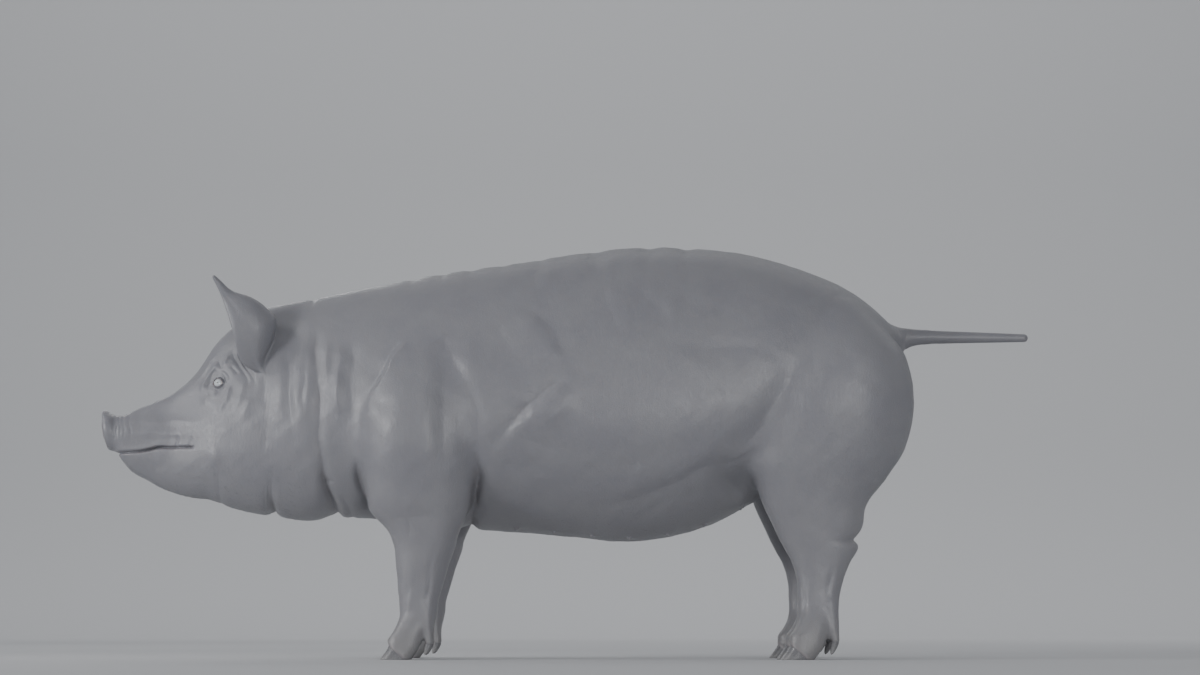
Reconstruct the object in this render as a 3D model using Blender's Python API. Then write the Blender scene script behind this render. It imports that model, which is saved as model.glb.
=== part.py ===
"""A standing pig at life size: one body of flesh, parted into its named pieces.

The flesh is described by one number at every point of space, roughly the distance to the
skin and negative inside it.  Lofts along the trunk and down each leg, the feet, the snout,
the ears and the tail are such numbers, joined by soft unions, and the folds of the skin
are pressed into them.  The place where the number is zero is meshed on a graded grid,
thinned out, and parted by thin cuts at the joins a person would name.

Frame: metres, +Z up, the floor at z = 0, the head towards -X and the pig's left side
towards -Y.  The right half is worked out and mirrored.
"""

import math

import bmesh
import bpy
import numpy as np
from mathutils import Matrix, Vector

# ---------------------------------------------------------------- driving sizes
GAP = 0.0003            # clear space between two pieces that touch
TRIANGLES = 4400        # triangles of all the flesh together
SOLE_SNAP = 0.0015      # what is lower than this on a sole is brought to the floor
LIMB_BLEND = 0.045      # how softly a leg runs into the trunk
EYE_CENTRE = (-0.7170, 0.0735, 0.5690)
EYE_RADIUS = 0.0122
SOCKET_RADIUS = 0.0135  # its coarse facets still clear the eye
EAR_ROOT = (-0.622, 0.092, 0.650)
EAR_LEAN = 0.20         # how far the ear leans outwards over its own length of 1
SNOUT_CENTRE = (-0.9575, 0.476)
SNOUT_TILT = math.radians(11)
# Radius of the nose's plate by the place behind its middle: it flares to the front.
SNOUT_FLARE = [(-0.02, 0.0446), (-0.0105, 0.0450), (-0.0050, 0.0446), (-0.0005, 0.0424),
               (0.004, 0.0378), (0.008, 0.0330), (0.0135, 0.0292), (0.028, 0.0255)]
HOOF_PLANE = (0.68, 0.733, 0.0335)   # rearward part, upward part, distance: the coronet

# ---------------------------------------------------------------- lofts
# Trunk, neck and head from the muzzle (x = -0.965) to the rump: (x, value) pairs.
TOP_LINE = [(-0.965, 0.500), (-0.945, 0.506), (-0.925, 0.511), (-0.900, 0.522),
            (-0.850, 0.542), (-0.820, 0.557), (-0.790, 0.582), (-0.765, 0.612),
            (-0.740, 0.652), (-0.715, 0.681), (-0.685, 0.705), (-0.645, 0.729),
            (-0.590, 0.744), (-0.520, 0.756), (-0.400, 0.781), (-0.250, 0.808),
            (-0.100, 0.829), (0.030, 0.849), (0.160, 0.862), (0.280, 0.859),
            (0.400, 0.843), (0.500, 0.813), (0.600, 0.768), (0.660, 0.724), (0.710, 0.690)]
BELLY_LINE = [(-0.965, 0.452), (-0.945, 0.436), (-0.930, 0.414), (-0.910, 0.391),
              (-0.880, 0.374), (-0.840, 0.352), (-0.790, 0.337), (-0.740, 0.329),
              (-0.690, 0.311), (-0.640, 0.299), (-0.580, 0.290), (-0.520, 0.287),
              (-0.440, 0.290), (-0.340, 0.279), (-0.220, 0.270), (-0.100, 0.262),
              (0.020, 0.252), (0.130, 0.243), (0.220, 0.253), (0.300, 0.276),
              (0.380, 0.315), (0.460, 0.365), (0.540, 0.420), (0.620, 0.500),
              (0.680, 0.570), (0.710, 0.610)]
HALF_WIDTH = [(-0.965, 0.035), (-0.930, 0.041), (-0.880, 0.048), (-0.820, 0.058),
              (-0.770, 0.076), (-0.720, 0.099), (-0.670, 0.121), (-0.610, 0.138),
              (-0.540, 0.149), (-0.460, 0.164), (-0.380, 0.184), (-0.280, 0.205),
              (-0.140, 0.222), (0.020, 0.236), (0.180, 0.242), (0.320, 0.236),
              (0.440, 0.218), (0.540, 0.188), (0.620, 0.145), (0.680, 0.092), (0.710, 0.060)]
WIDEST_AT = [(-0.965, 0.474), (-0.900, 0.452), (-0.820, 0.432), (-0.740, 0.440),
             (-0.660, 0.462), (-0.560, 0.490), (-0.420, 0.505), (-0.200, 0.505),
             (0.100, 0.500), (0.300, 0.530), (0.500, 0.610), (0.650, 0.665), (0.710, 0.660)]
FULLNESS_UP = [(-0.965, 2.4), (-0.850, 2.1), (-0.740, 1.9), (-0.600, 1.85), (-0.400, 1.9),
               (-0.100, 2.1), (0.300, 2.15), (0.710, 2.0)]
FULLNESS_DOWN = [(-0.965, 2.2), (-0.850, 2.2), (-0.740, 2.3), (-0.600, 2.3),
                 (-0.400, 2.0), (0.710, 2.0)]
MUZZLE_END, RUMP_END = -0.967, 0.715

# Legs from the fetlock up: (z, value) pairs for the front and rear edges, the middle of
# the leg across the body, and half its thickness.
FORELEG = {
    "front": [(0.05, -0.343), (0.085, -0.335), (0.121, -0.3365), (0.182, -0.342),
              (0.233, -0.351), (0.262, -0.362), (0.30, -0.385), (0.36, -0.408),
              (0.46, -0.420), (0.56, -0.395), (0.68, -0.34)],
    "rear": [(0.05, -0.272), (0.085, -0.260), (0.121, -0.2545), (0.161, -0.243),
             (0.202, -0.231), (0.259, -0.207), (0.31, -0.186), (0.36, -0.176),
             (0.46, -0.180), (0.56, -0.200), (0.68, -0.245)],
    "middle": [(0.05, 0.140), (0.20, 0.142), (0.30, 0.140), (0.45, 0.135), (0.68, 0.11)],
    "half": [(0.05, 0.033), (0.10, 0.031), (0.15, 0.034), (0.20, 0.042), (0.26, 0.054),
             (0.33, 0.075), (0.42, 0.096), (0.52, 0.094), (0.60, 0.080), (0.68, 0.05)],
    "top": 0.70, "rounding": 0.10}
HINDLEG = {
    "front": [(0.05, 0.476), (0.09, 0.476), (0.13, 0.4765), (0.165, 0.474), (0.198, 0.465),
              (0.232, 0.446), (0.269, 0.428), (0.304, 0.412), (0.344, 0.395), (0.38, 0.380),
              (0.43, 0.383), (0.50, 0.405), (0.58, 0.435), (0.66, 0.47), (0.76, 0.53)],
    "rear": [(0.05, 0.556), (0.09, 0.557), (0.121, 0.561), (0.162, 0.571), (0.198, 0.586),
             (0.230, 0.602), (0.246, 0.598), (0.264, 0.608), (0.319, 0.622), (0.366, 0.659),
             (0.418, 0.694), (0.469, 0.713), (0.52, 0.720), (0.58, 0.716), (0.63, 0.702),
             (0.69, 0.665), (0.76, 0.61)],
    "middle": [(0.05, 0.140), (0.22, 0.138), (0.34, 0.130), (0.50, 0.118), (0.76, 0.09)],
    "half": [(0.05, 0.033), (0.10, 0.029), (0.16, 0.030), (0.22, 0.038), (0.28, 0.052),
             (0.34, 0.070), (0.42, 0.096), (0.52, 0.116), (0.62, 0.116), (0.70, 0.095),
             (0.76, 0.07)],
    "top": 0.745, "rounding": 0.13}

# Feet: place of the toe, middle across the body, size against the fore foot, turn outwards.
FEET = {"fore": {"toe": -0.374, "middle": 0.140, "size": 1.00, "turn": 0.0},
        "hind": {"toe": 0.435, "middle": 0.140, "size": 1.12, "turn": math.radians(10)}}
FETLOCK_BACK = 0.075    # from the toe back to the middle of the fetlock, on a foot of size 1
# One digit of a foot of size 1, by height: front and rear edges, middle and half thickness.
DIGIT = {
    "front": [(0.0, 0.0), (0.029, 0.018), (0.042, 0.0175), (0.056, 0.026), (0.085, 0.0375),
              (0.11, 0.040)],
    "rear": [(0.0, 0.066), (0.01, 0.0745), (0.02, 0.080), (0.035, 0.0835), (0.05, 0.086),
             (0.085, 0.098), (0.11, 0.105)],
    "middle": [(0.0, 0.0215), (0.03, 0.020), (0.06, 0.0155), (0.11, 0.008)],
    "half": [(0.0, 0.0175), (0.02, 0.0190), (0.045, 0.0205), (0.07, 0.0205), (0.11, 0.019)]}

# Ear along its own length: front and rear edges, half depth of the cup.
EAR = {
    "front": [(-0.045, 0.036), (-0.02, 0.051), (0.0, 0.056), (0.02, 0.0535), (0.05, 0.044),
              (0.08, 0.035), (0.115, 0.024), (0.145, 0.0175), (0.165, 0.0115), (0.175, 0.006)],
    "rear": [(-0.045, 0.034), (-0.02, 0.012), (-0.005, -0.012), (0.012, -0.034),
             (0.03, -0.0465), (0.053, -0.0455), (0.08, -0.039), (0.103, -0.031),
             (0.13, -0.0155), (0.148, -0.007), (0.165, -0.002), (0.175, 0.002)],
    "depth": [(-0.045, 0.020), (0.0, 0.030), (0.03, 0.032), (0.08, 0.028), (0.12, 0.019),
              (0.15, 0.010), (0.175, 0.005)],
    "thick": [(-0.045, 0.0095), (0.02, 0.0080), (0.10, 0.0065), (0.175, 0.0055)]}
EAR_WRAP = math.radians(118)    # the cup's edge, measured round from its back

# Folds of the skin in the side view: route, depth and width of the groove, rise of the skin
# on the left of the route and its reach, and the shares of the route that fade at each end.
FOLDS = [
    # throat behind the jaw, then the angle of the jaw
    ([(-0.596, 0.50), (-0.598, 0.45), (-0.603, 0.385), (-0.606, 0.330), (-0.602, 0.270)],
     0.0140, 0.0085, 0.006, 0.030, (0.85, 0.0)),
    ([(-0.722, 0.312), (-0.716, 0.345), (-0.718, 0.40)], 0.005, 0.007, 0.0, 0.03, (0.0, 0.6)),
    # neck in front of the collar
    ([(-0.574, 0.665), (-0.566, 0.565), (-0.560, 0.504), (-0.552, 0.430)],
     0.0050, 0.0110, 0.0030, 0.020, (0.35, 0.5)),
    # collar: a notch in the crest, a broad valley down the neck, a deep cut in the throat
    ([(-0.531, 0.800), (-0.529, 0.745), (-0.522, 0.700)], 0.0058, 0.0080, 0.0, 0.018, (0.0, 0.7)),
    ([(-0.524, 0.715), (-0.513, 0.660), (-0.514, 0.610), (-0.503, 0.560), (-0.503, 0.500),
      (-0.500, 0.430)], 0.0085, 0.0125, 0.0, 0.020, (0.25, 0.2)),
    ([(-0.504, 0.500), (-0.502, 0.460), (-0.500, 0.420), (-0.4935, 0.3805), (-0.488, 0.345),
      (-0.477, 0.310), (-0.470, 0.262)], 0.0140, 0.0090, 0.005, 0.022, (0.55, 0.0)),
    # the roll behind the collar, and the valley behind that
    ([(-0.466, 0.650), (-0.462, 0.600), (-0.464, 0.540), (-0.462, 0.478)],
     -0.0080, 0.0160, 0.0, 0.03, (0.3, 0.3)),
    ([(-0.442, 0.675), (-0.434, 0.610), (-0.436, 0.545), (-0.431, 0.480)],
     0.0046, 0.0130, 0.0, 0.03, (0.3, 0.3)),
    # breast in front of the shoulder
    ([(-0.436, 0.44), (-0.426, 0.399), (-0.416, 0.362), (-0.404, 0.332), (-0.390, 0.290)],
     0.0220, 0.0115, 0.0, 0.04, (0.45, 0.0)),
    # front edge of the shoulder blade
    ([(-0.322, 0.650), (-0.346, 0.623), (-0.361, 0.600), (-0.371, 0.577), (-0.384, 0.551),
      (-0.3985, 0.531), (-0.406, 0.5115), (-0.418, 0.460)],
     0.0052, 0.0075, 0.0080, 0.030, (0.10, 0.25)),
    # rear edge of the shoulder, then the crevice behind the elbow
    ([(-0.240, 0.672), (-0.231, 0.6215), (-0.213, 0.579), (-0.190, 0.538), (-0.182, 0.484),
      (-0.182, 0.423), (-0.178, 0.362), (-0.170, 0.311)],
     0.0068, 0.0150, 0.0070, 0.034, (0.22, 0.2)),
    ([(-0.180, 0.440), (-0.178, 0.400), (-0.176, 0.350), (-0.172, 0.300), (-0.168, 0.255)],
     0.0210, 0.0115, 0.0, 0.04, (0.6, 0.0)),
    # slanting fold behind the shoulder
    ([(0.010, 0.575), (-0.025, 0.553), (-0.053, 0.532), (-0.085, 0.504), (-0.108, 0.474),
      (-0.132, 0.441), (-0.150, 0.410)], 0.0070, 0.0125, 0.0080, 0.034, (0.15, 0.35)),
    # upper edge of the muscle behind the shoulder
    ([(0.0085, 0.600), (-0.008, 0.636), (-0.028, 0.672), (-0.060, 0.700), (-0.115, 0.727)],
     0.0048, 0.0140, 0.0090, 0.042, (0.2, 0.4)),
    # ribs under the back
    ([(0.072, 0.775), (0.088, 0.730), (0.099, 0.700), (0.108, 0.677), (0.126, 0.645)],
     0.0046, 0.0130, 0.0050, 0.030, (0.3, 0.3)),
    ([(0.150, 0.765), (0.170, 0.731), (0.194, 0.712), (0.212, 0.676)],
     0.0042, 0.0130, 0.0046, 0.028, (0.3, 0.3)),
    # flank, in front of the ham
    ([(0.450, 0.640), (0.468, 0.605), (0.458, 0.561), (0.438, 0.530), (0.417, 0.497),
      (0.396, 0.464), (0.364, 0.432), (0.340, 0.413), (0.314, 0.388)],
     0.0066, 0.0180, 0.0120, 0.050, (0.40, 0.05)),
    # fold of the belly that runs on from the flank
    ([(0.030, 0.309), (0.0735, 0.3116), (0.165, 0.334), (0.220, 0.356), (0.2765, 0.3825),
      (0.328, 0.402)], 0.0052, 0.0120, 0.0050, 0.034, (0.5, 0.0)),
]
# Soft swellings and hollows in the side view: (x, z, reach along x, reach along z, rise).
FORMS = [
    (-0.700, 0.604, 0.030, 0.016, 0.0050),      # brow over the eye
    (-0.722, 0.574, 0.024, 0.020, -0.0060),     # hollow of the eye
    (-0.655, 0.600, 0.022, 0.030, -0.0040),     # temple
    (-0.640, 0.450, 0.060, 0.080, 0.0040),      # cheek
    (-0.845, 0.470, 0.070, 0.012, 0.0030),      # ridge above the lip
    (-0.850, 0.508, 0.075, 0.014, -0.0034),     # side of the nose
    (-0.572, 0.655, 0.028, 0.050, -0.0090),     # behind the ear
    (-0.300, 0.500, 0.070, 0.090, 0.0080),      # shoulder
    (-0.192, 0.602, 0.024, 0.042, 0.0056),      # muscle between shoulder and ribs
    (-0.130, 0.600, 0.050, 0.060, -0.0020),     # behind the shoulder blade
    (0.120, 0.650, 0.050, 0.040, 0.0034),       # swell below the ribs
    (0.560, 0.560, 0.090, 0.110, 0.0060),       # ham
    (0.330, 0.600, 0.060, 0.110, -0.0060),      # loin in front of the ham
    (0.358, 0.354, 0.028, 0.030, -0.0220),      # hollow of the groin
]


# ---------------------------------------------------------------- small maths
def curve(knots, at):
    """Smooth line through (place, value) knots: cubic pieces whose slopes match."""
    place, value = np.asarray(knots, np.float32).T
    slope = np.gradient(value, place)
    at = np.clip(at, place[0], place[-1])
    i = np.clip(np.searchsorted(place, at, side="right") - 1, 0, len(place) - 2)
    span = place[i + 1] - place[i]
    t = (at - place[i]) / span
    return ((1 + 2 * t) * (1 - t) ** 2 * value[i] + t * (1 - t) ** 2 * span * slope[i]
            + t * t * (3 - 2 * t) * value[i + 1] - t * t * (1 - t) * span * slope[i + 1])


def join(a, b, soft):
    """Union of two solids whose seam is rounded over the distance soft."""
    h = np.clip(soft - np.abs(a - b), 0, None) / soft
    return np.minimum(a, b) - h ** 3 * (soft / 6)


def carve(a, b, soft):
    """Solid a without solid b, with the edge rounded over the distance soft."""
    return -join(-a, b, soft)


def oval(u, v, half_u, half_v, power):
    """Distance to a superellipse, measured along the line from its middle."""
    reach = ((np.abs(u) / half_u) ** power + (np.abs(v) / half_v) ** power + 1e-9) ** (1 / power)
    far = np.sqrt(u * u + v * v)
    return far - far / reach


def past_end(distance, far, over):
    """Distance to a loft that stops: past its end it is measured to the end's middle."""
    return np.where(over > 0, np.sqrt(far * far + over * over), distance)


def rod(x, y, z, start, end, start_radius, end_radius):
    """Distance to a round rod with ball ends, tapering from one radius to the other."""
    a, b = np.asarray(start, np.float32), np.asarray(end, np.float32)
    ab = b - a
    t = ((x - a[0]) * ab[0] + (y - a[1]) * ab[1] + (z - a[2]) * ab[2]) / float(ab @ ab)
    t = np.clip(t, 0, 1)
    far = np.sqrt((x - a[0] - t * ab[0]) ** 2 + (y - a[1] - t * ab[1]) ** 2
                  + (z - a[2] - t * ab[2]) ** 2)
    return far - (start_radius + (end_radius - start_radius) * t)


# ---------------------------------------------------------------- the pig's forms
def trunk_form(x, y, z):
    """Head, neck and trunk: egg-shaped sections along X with the widest point off-centre."""
    level = curve(WIDEST_AT, x)
    rounding = np.sqrt(np.clip(1 - (np.clip(x - 0.64, 0, None) / 0.075) ** 2, 1e-3, 1))
    rounding = rounding * np.sqrt(np.clip(1 - (np.clip(-0.945 - x, 0, None) / 0.022) ** 2, 1e-3, 1))
    half = curve(HALF_WIDTH, x) * rounding
    up, down = (curve(TOP_LINE, x) - level) * rounding, (level - curve(BELLY_LINE, x)) * rounding
    v = z - level
    above = v > 0
    distance = oval(y, v, half, np.where(above, up, down),
                    np.where(above, curve(FULLNESS_UP, x), curve(FULLNESS_DOWN, x)))
    over = np.clip(x - RUMP_END, 0, None) + np.clip(MUZZLE_END - x, 0, None)
    return past_end(distance, np.sqrt(y * y + v * v), over)


def leg_form(x, y, z, leg):
    """A leg: nearly elliptical sections down Z, rounded over at the top and at the fetlock."""
    front, rear = curve(leg["front"], z), curve(leg["rear"], z)
    high = np.clip(z - (leg["top"] - leg["rounding"]), 0, None) / leg["rounding"]
    low = np.clip(0.075 - z, 0, None) / 0.05
    rounding = np.sqrt(np.clip(1 - high ** 2, 1e-3, 1) * np.clip(1 - low ** 2, 1e-3, 1))
    u, v = y - curve(leg["middle"], z), x - (front + rear) / 2
    distance = oval(u, v, curve(leg["half"], z) * rounding, (rear - front) / 2 * rounding, 2.2)
    over = np.clip(z - leg["top"], 0, None) + np.clip(0.026 - z, 0, None)
    return past_end(distance, np.sqrt(u * u + v * v), over)


def foot_axes(x, y, foot):
    """Place within a foot of size 1: back from the toe, and outwards from its middle."""
    dx = (x - foot["toe"]) / foot["size"] - FETLOCK_BACK
    dy = (y - foot["middle"]) / foot["size"]
    turn = foot["turn"]
    back = dx * math.cos(turn) - dy * math.sin(turn) + FETLOCK_BACK
    return back, dx * math.sin(turn) + dy * math.cos(turn)


def foot_form(flesh, x, y, z, foot):
    """Two digits with their hooves, the cleft between them, and two dewclaws behind."""
    back, out = foot_axes(x, y, foot)
    up, side = z / foot["size"], np.abs(out)
    front, rear = curve(DIGIT["front"], up), curve(DIGIT["rear"], up)
    high = np.clip(up - 0.065, 0, None) / 0.045
    rounding = np.sqrt(np.clip(1 - high ** 2, 1e-2, 1))
    digit = oval(side - curve(DIGIT["middle"], up), back - (front + rear) / 2,
                 curve(DIGIT["half"], up) * rounding, (rear - front) / 2 * rounding, 2.5)
    digit = np.maximum(digit, up - 0.108)
    dewclaw = rod(back, side, up, (0.093, 0.016, 0.098), (0.1010, 0.0225, 0.036), 0.0130, 0.0092)
    nail = rod(back, side, up, (0.1005, 0.0230, 0.032), (0.0955, 0.0250, 0.0125), 0.0082, 0.0040)
    shape = join(digit, join(dewclaw, nail, 0.005), 0.012) * foot["size"]
    flesh = join(flesh, shape, 0.018)
    width = 0.0020 + 0.09 * np.clip(0.034 - back, 0, 0.034)
    ceiling = 0.056 - 0.40 * np.clip(back - 0.03, 0, None)
    cleft = np.maximum(side - width, up - ceiling) * foot["size"]
    behind = np.maximum(np.maximum(side - 0.0085, 0.088 - back), up - 0.055) * foot["size"]
    heel_gap = rod(back, side, up, (0.0885, 0.0, 0.036), (0.0850, 0.045, 0.030), 0.0030, 0.0030)
    flesh = carve(flesh, cleft, 0.006)
    flesh = carve(flesh, behind, 0.006)
    flesh = carve(flesh, heel_gap * foot["size"], 0.004)
    return np.maximum(flesh, -z)


def snout_form(x, y, z):
    """The round plate of the nose, tilted, flared and crowned, and the two nostrils in it."""
    dx, dz = x - SNOUT_CENTRE[0], z - SNOUT_CENTRE[1]
    along = dx * math.cos(SNOUT_TILT) + dz * math.sin(SNOUT_TILT)
    rise = -dx * math.sin(SNOUT_TILT) + dz * math.cos(SNOUT_TILT)
    reach = np.sqrt((y / 0.046) ** 2 + (rise / 0.0445) ** 2)
    front = -(along + 0.0120 + 0.0030 * np.clip(1 - reach ** 2, 0, 1))
    rim = 0.045 * reach - curve(SNOUT_FLARE, along)
    disc = np.maximum(carve(front, -rim, 0.0045), along - 0.026)
    nostril = oval(np.sqrt(((y - 0.0190 - 0.10 * rise) / 0.86) ** 2 + (rise + 0.001) ** 2),
                   along + 0.010, 0.0100, 0.020, 2.0)
    return disc, nostril


def ear_axes():
    """Unit vectors of the right ear: along it, towards its opening, and across it."""
    lean = math.sqrt(1 - EAR_LEAN ** 2)
    along = np.array([-0.593 * lean, EAR_LEAN, 0.806 * lean])
    opening = np.array([-0.806, 0.0, -0.593])
    across = np.cross(along, opening)
    across = across / np.linalg.norm(across)
    return along, opening, across if across[1] > 0 else -across


def ear_form(x, y, z):
    """A leaf rolled into an open cup: an elliptical arc of constant wrap along the ear."""
    along, opening, across = ear_axes()
    dx, dy, dz = x - EAR_ROOT[0], y - EAR_ROOT[1], z - EAR_ROOT[2]
    s = dx * along[0] + dy * along[1] + dz * along[2]
    o = dx * opening[0] + dy * opening[1] + dz * opening[2]
    w = dx * across[0] + dy * across[1] + dz * across[2]
    at = np.clip(s, -0.045, 0.175)
    front, rear, depth = curve(EAR["front"], at), curve(EAR["rear"], at), curve(EAR["depth"], at)
    half = np.maximum((front - rear) / (1 - math.cos(EAR_WRAP)), 0.0012)
    u = o - rear - half
    reach = np.sqrt((u / half) ** 2 + (w / depth) ** 2 + 1e-9)
    far = np.sqrt(u * u + w * w)
    ring = np.abs(far - far / reach)
    angle = np.abs(np.arctan2(w / depth, -u / half))
    rim = np.sqrt((u + half * math.cos(EAR_WRAP)) ** 2
                  + (np.abs(w) - depth * math.sin(EAR_WRAP)) ** 2)
    sheet = np.where(angle < EAR_WRAP, ring, rim)
    return np.sqrt(sheet ** 2 + (s - at) ** 2) - curve(EAR["thick"], at) / 2


def tail_form(x, y, z):
    """A plain tail held straight back, thick at its root."""
    root = rod(x, y, z, (0.690, 0, 0.672), (0.76, 0, 0.6735), 0.0235, 0.0150)
    return join(root, rod(x, y, z, (0.76, 0, 0.6735), (0.967, 0, 0.6715), 0.0150, 0.0090), 0.006)


def fold_move(x, z, route, depth, width, rise, reach, fade):
    """How far a fold moves the skin inwards: a bell-shaped groove along a route in the side
    view, and on the left of the route a swelling that dies away with the distance."""
    route = np.asarray(route, np.float64)
    length = np.concatenate([[0], np.cumsum(np.hypot(*np.diff(route, axis=0).T))])
    share = length / length[-1]
    steps = np.linspace(0, 1, 25)
    line = np.stack([curve(np.stack([share, route[:, k]], 1), steps) for k in (0, 1)], 1)
    nearest = np.full(np.broadcast(x, z).shape, 9.0, np.float32)
    side, place = np.zeros_like(nearest), np.zeros_like(nearest)
    for a, b, start in zip(line[:-1], line[1:], steps):
        ab = b - a
        t = np.clip(((x - a[0]) * ab[0] + (z - a[1]) * ab[1]) / (ab @ ab), 0, 1)
        dx, dz = x - a[0] - t * ab[0], z - a[1] - t * ab[1]
        far = np.hypot(dx, dz)
        closer = far < nearest
        nearest = np.where(closer, far, nearest)
        side = np.where(closer, np.sign(ab[0] * dz - ab[1] * dx), side)
        place = np.where(closer, start + t * steps[1], place)
    hold = np.ones_like(nearest)
    for share_faded, from_end in zip(fade, (place, 1 - place)):
        if share_faded:
            hold = hold * np.clip(from_end / share_faded, 0, 1)
    hold = hold * hold * (3 - 2 * hold)
    swelling = rise * np.exp(-(nearest / reach) ** 2) * (1 + np.tanh(nearest * side / width)) / 2
    return (depth * np.exp(-(nearest / width) ** 2) - swelling) * hold


def side_view_moves(x, z):
    """All folds and forms of the side view together, as a distance inwards."""
    moves = sum(fold_move(x, z, *fold) for fold in FOLDS)
    for cx, cz, reach_x, reach_z, rise in FORMS:
        moves = moves - rise * np.exp(-((x - cx) / reach_x) ** 2 - ((z - cz) / reach_z) ** 2)
    return moves.astype(np.float32)


# ---------------------------------------------------------------- grid and mesh
def graded(*stretches):
    """Grid lines from (start, end, step) stretches that follow each other."""
    lines = [np.linspace(a, b, max(2, round((b - a) / step) + 1))[:-1] for a, b, step in stretches]
    return np.concatenate(lines + [[stretches[-1][1]]]).astype(np.float32)


def right_half(xs, ys, zs):
    """The flesh's distance on the grid for y >= 0."""
    x, y, z = xs[:, None, None], ys[None, :, None], zs[None, None, :]
    flesh = join(trunk_form(x, y, z), leg_form(x, y, z, FORELEG), LIMB_BLEND)
    flesh = join(flesh, leg_form(x, y, z, HINDLEG), LIMB_BLEND)
    flesh = flesh + side_view_moves(xs[:, None], zs[None, :])[:, None, :]

    def within(low, high, change):
        """Change the distance inside a box of the grid only."""
        box = tuple(slice(max(0, np.searchsorted(line, a) - 1), np.searchsorted(line, b) + 1)
                    for line, a, b in zip((xs, ys, zs), low, high))
        flesh[box] = change(flesh[box], x[box[0]], y[:, box[1]], z[:, :, box[2]])

    def add_snout(old, *at):
        disc, nostril = snout_form(*at)
        return carve(join(old, disc, 0.008), nostril, 0.0035)

    within((-1.0, 0, 0.40), (-0.92, 0.08, 0.56), add_snout)
    within((-0.80, 0, 0.55), (-0.54, 0.25, 0.86), lambda old, *at: join(old, ear_form(*at), 0.014))
    within((0.62, 0, 0.60), (1.0, 0.08, 0.75), lambda old, *at: join(old, tail_form(*at), 0.03))
    for foot in FEET.values():
        within((foot["toe"] - 0.03, 0.05, -0.1), (foot["toe"] + 0.17, 0.24, 0.16),
               lambda old, *at, foot=foot: foot_form(old, *at, foot))
    return flesh


def well_joined(field):
    """The field with no grid square whose corners are inside on one diagonal and outside on
    the other, where a mesh would touch itself: the nearer outside corner is brought inside."""
    field = field.copy()
    for _ in range(6):
        repairs = 0
        for axes in ((0, 1), (0, 2), (1, 2)):
            corners = []
            for a, b in ((0, 0), (0, 1), (1, 0), (1, 1)):
                window = [slice(None)] * 3
                for axis, shift in zip(axes, (a, b)):
                    window[axis] = slice(1, None) if shift else slice(0, -1)
                corners.append(field[tuple(window)])
            signs = [corner < 0 for corner in corners]
            crossed = (signs[0] == signs[3]) & (signs[1] == signs[2]) & (signs[0] != signs[1])
            places = np.argwhere(crossed)
            repairs += len(places)
            for place in places:
                square = [(a, b) for a in (0, 1) for b in (0, 1)]
                spots = []
                for a, b in square:
                    spot = place.copy()
                    spot[axes[0]] += a
                    spot[axes[1]] += b
                    spots.append(tuple(spot))
                outside = [spot for spot in spots if field[spot] >= 0]
                if outside:
                    field[min(outside, key=lambda spot: field[spot])] = -1e-5
        if not repairs:
            break
    return field


def surface_net(field, xs, ys, zs):
    """Closed mesh of quads where the field is zero: one point in each cell that the surface
    crosses, at the mean of its crossings, and one quad round each grid edge it crosses."""
    inside = field < 0
    cells = tuple(n - 1 for n in field.shape)
    total, count = np.zeros(cells + (3,), np.float32), np.zeros(cells, np.int32)
    lines = (xs, ys, zs)
    crossed = []
    for axis in range(3):
        head, tail = [slice(None)] * 3, [slice(None)] * 3
        head[axis], tail[axis] = slice(0, -1), slice(1, None)
        head, tail = tuple(head), tuple(tail)
        where = np.argwhere(inside[head] != inside[tail])
        step = np.eye(3, dtype=int)[axis]
        f0, f1 = field[tuple(where.T)], field[tuple((where + step).T)]
        points = np.stack([line[where[:, k]] for k, line in enumerate(lines)], 1)
        points[:, axis] += f0 / (f0 - f1) * (lines[axis][where[:, axis] + 1] - points[:, axis])
        others = [k for k in range(3) if k != axis]
        around = []
        for a, b in ((0, 0), (1, 0), (1, 1), (0, 1)):
            cell = where.copy()
            cell[:, others[0]] -= a
            cell[:, others[1]] -= b
            np.add.at(total, tuple(cell.T), points)
            np.add.at(count, tuple(cell.T), 1)
            around.append(np.ravel_multi_index(tuple(cell.T), cells))
        quads = np.stack(around, 1)
        flip = (f0 >= 0) ^ (axis == 1)
        quads[flip] = quads[flip][:, ::-1]
        crossed.append(quads)
    used = np.flatnonzero(count.ravel())
    number = np.full(count.size, -1, np.int64)
    number[used] = np.arange(len(used))
    points = total.reshape(-1, 3)[used] / count.ravel()[used, None]
    return points, number[np.concatenate(crossed)]


def flesh_mesh():
    """The whole flesh as points and quads, both halves of the body."""
    xs = graded((-1.0, -0.92, 0.0030), (-0.92, -0.76, 0.005), (-0.76, -0.58, 0.003),
                (-0.58, -0.40, 0.006), (-0.40, -0.25, 0.003), (-0.25, 0.41, 0.008),
                (0.41, 0.58, 0.003), (0.58, 0.70, 0.006), (0.70, 1.0, 0.006))
    ys = graded((0, 0.20, 0.0028), (0.20, 0.30, 0.006))
    zs = graded((-0.0065, 0.0, 0.0065), (0.0, 0.10, 0.003), (0.10, 0.40, 0.007),
                (0.40, 0.81, 0.003), (0.81, 0.90, 0.006))
    half = right_half(xs, ys, zs)
    half = well_joined(half)
    both = np.concatenate([half[:, :0:-1], half], 1)
    return surface_net(both, xs, np.concatenate([-ys[:0:-1], ys]), zs)


# ---------------------------------------------------------------- pieces in Blender
def material(name, colour, roughness):
    """A Principled material of one colour (linear), as these solids are plain."""
    made = bpy.data.materials.new(name)
    made.use_nodes = True
    shader = made.node_tree.nodes["Principled BSDF"]
    shader.inputs["Base Color"].default_value = (*colour, 1)
    shader.inputs["Roughness"].default_value = roughness
    shader.inputs["Metallic"].default_value = 0.0
    return made


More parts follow.
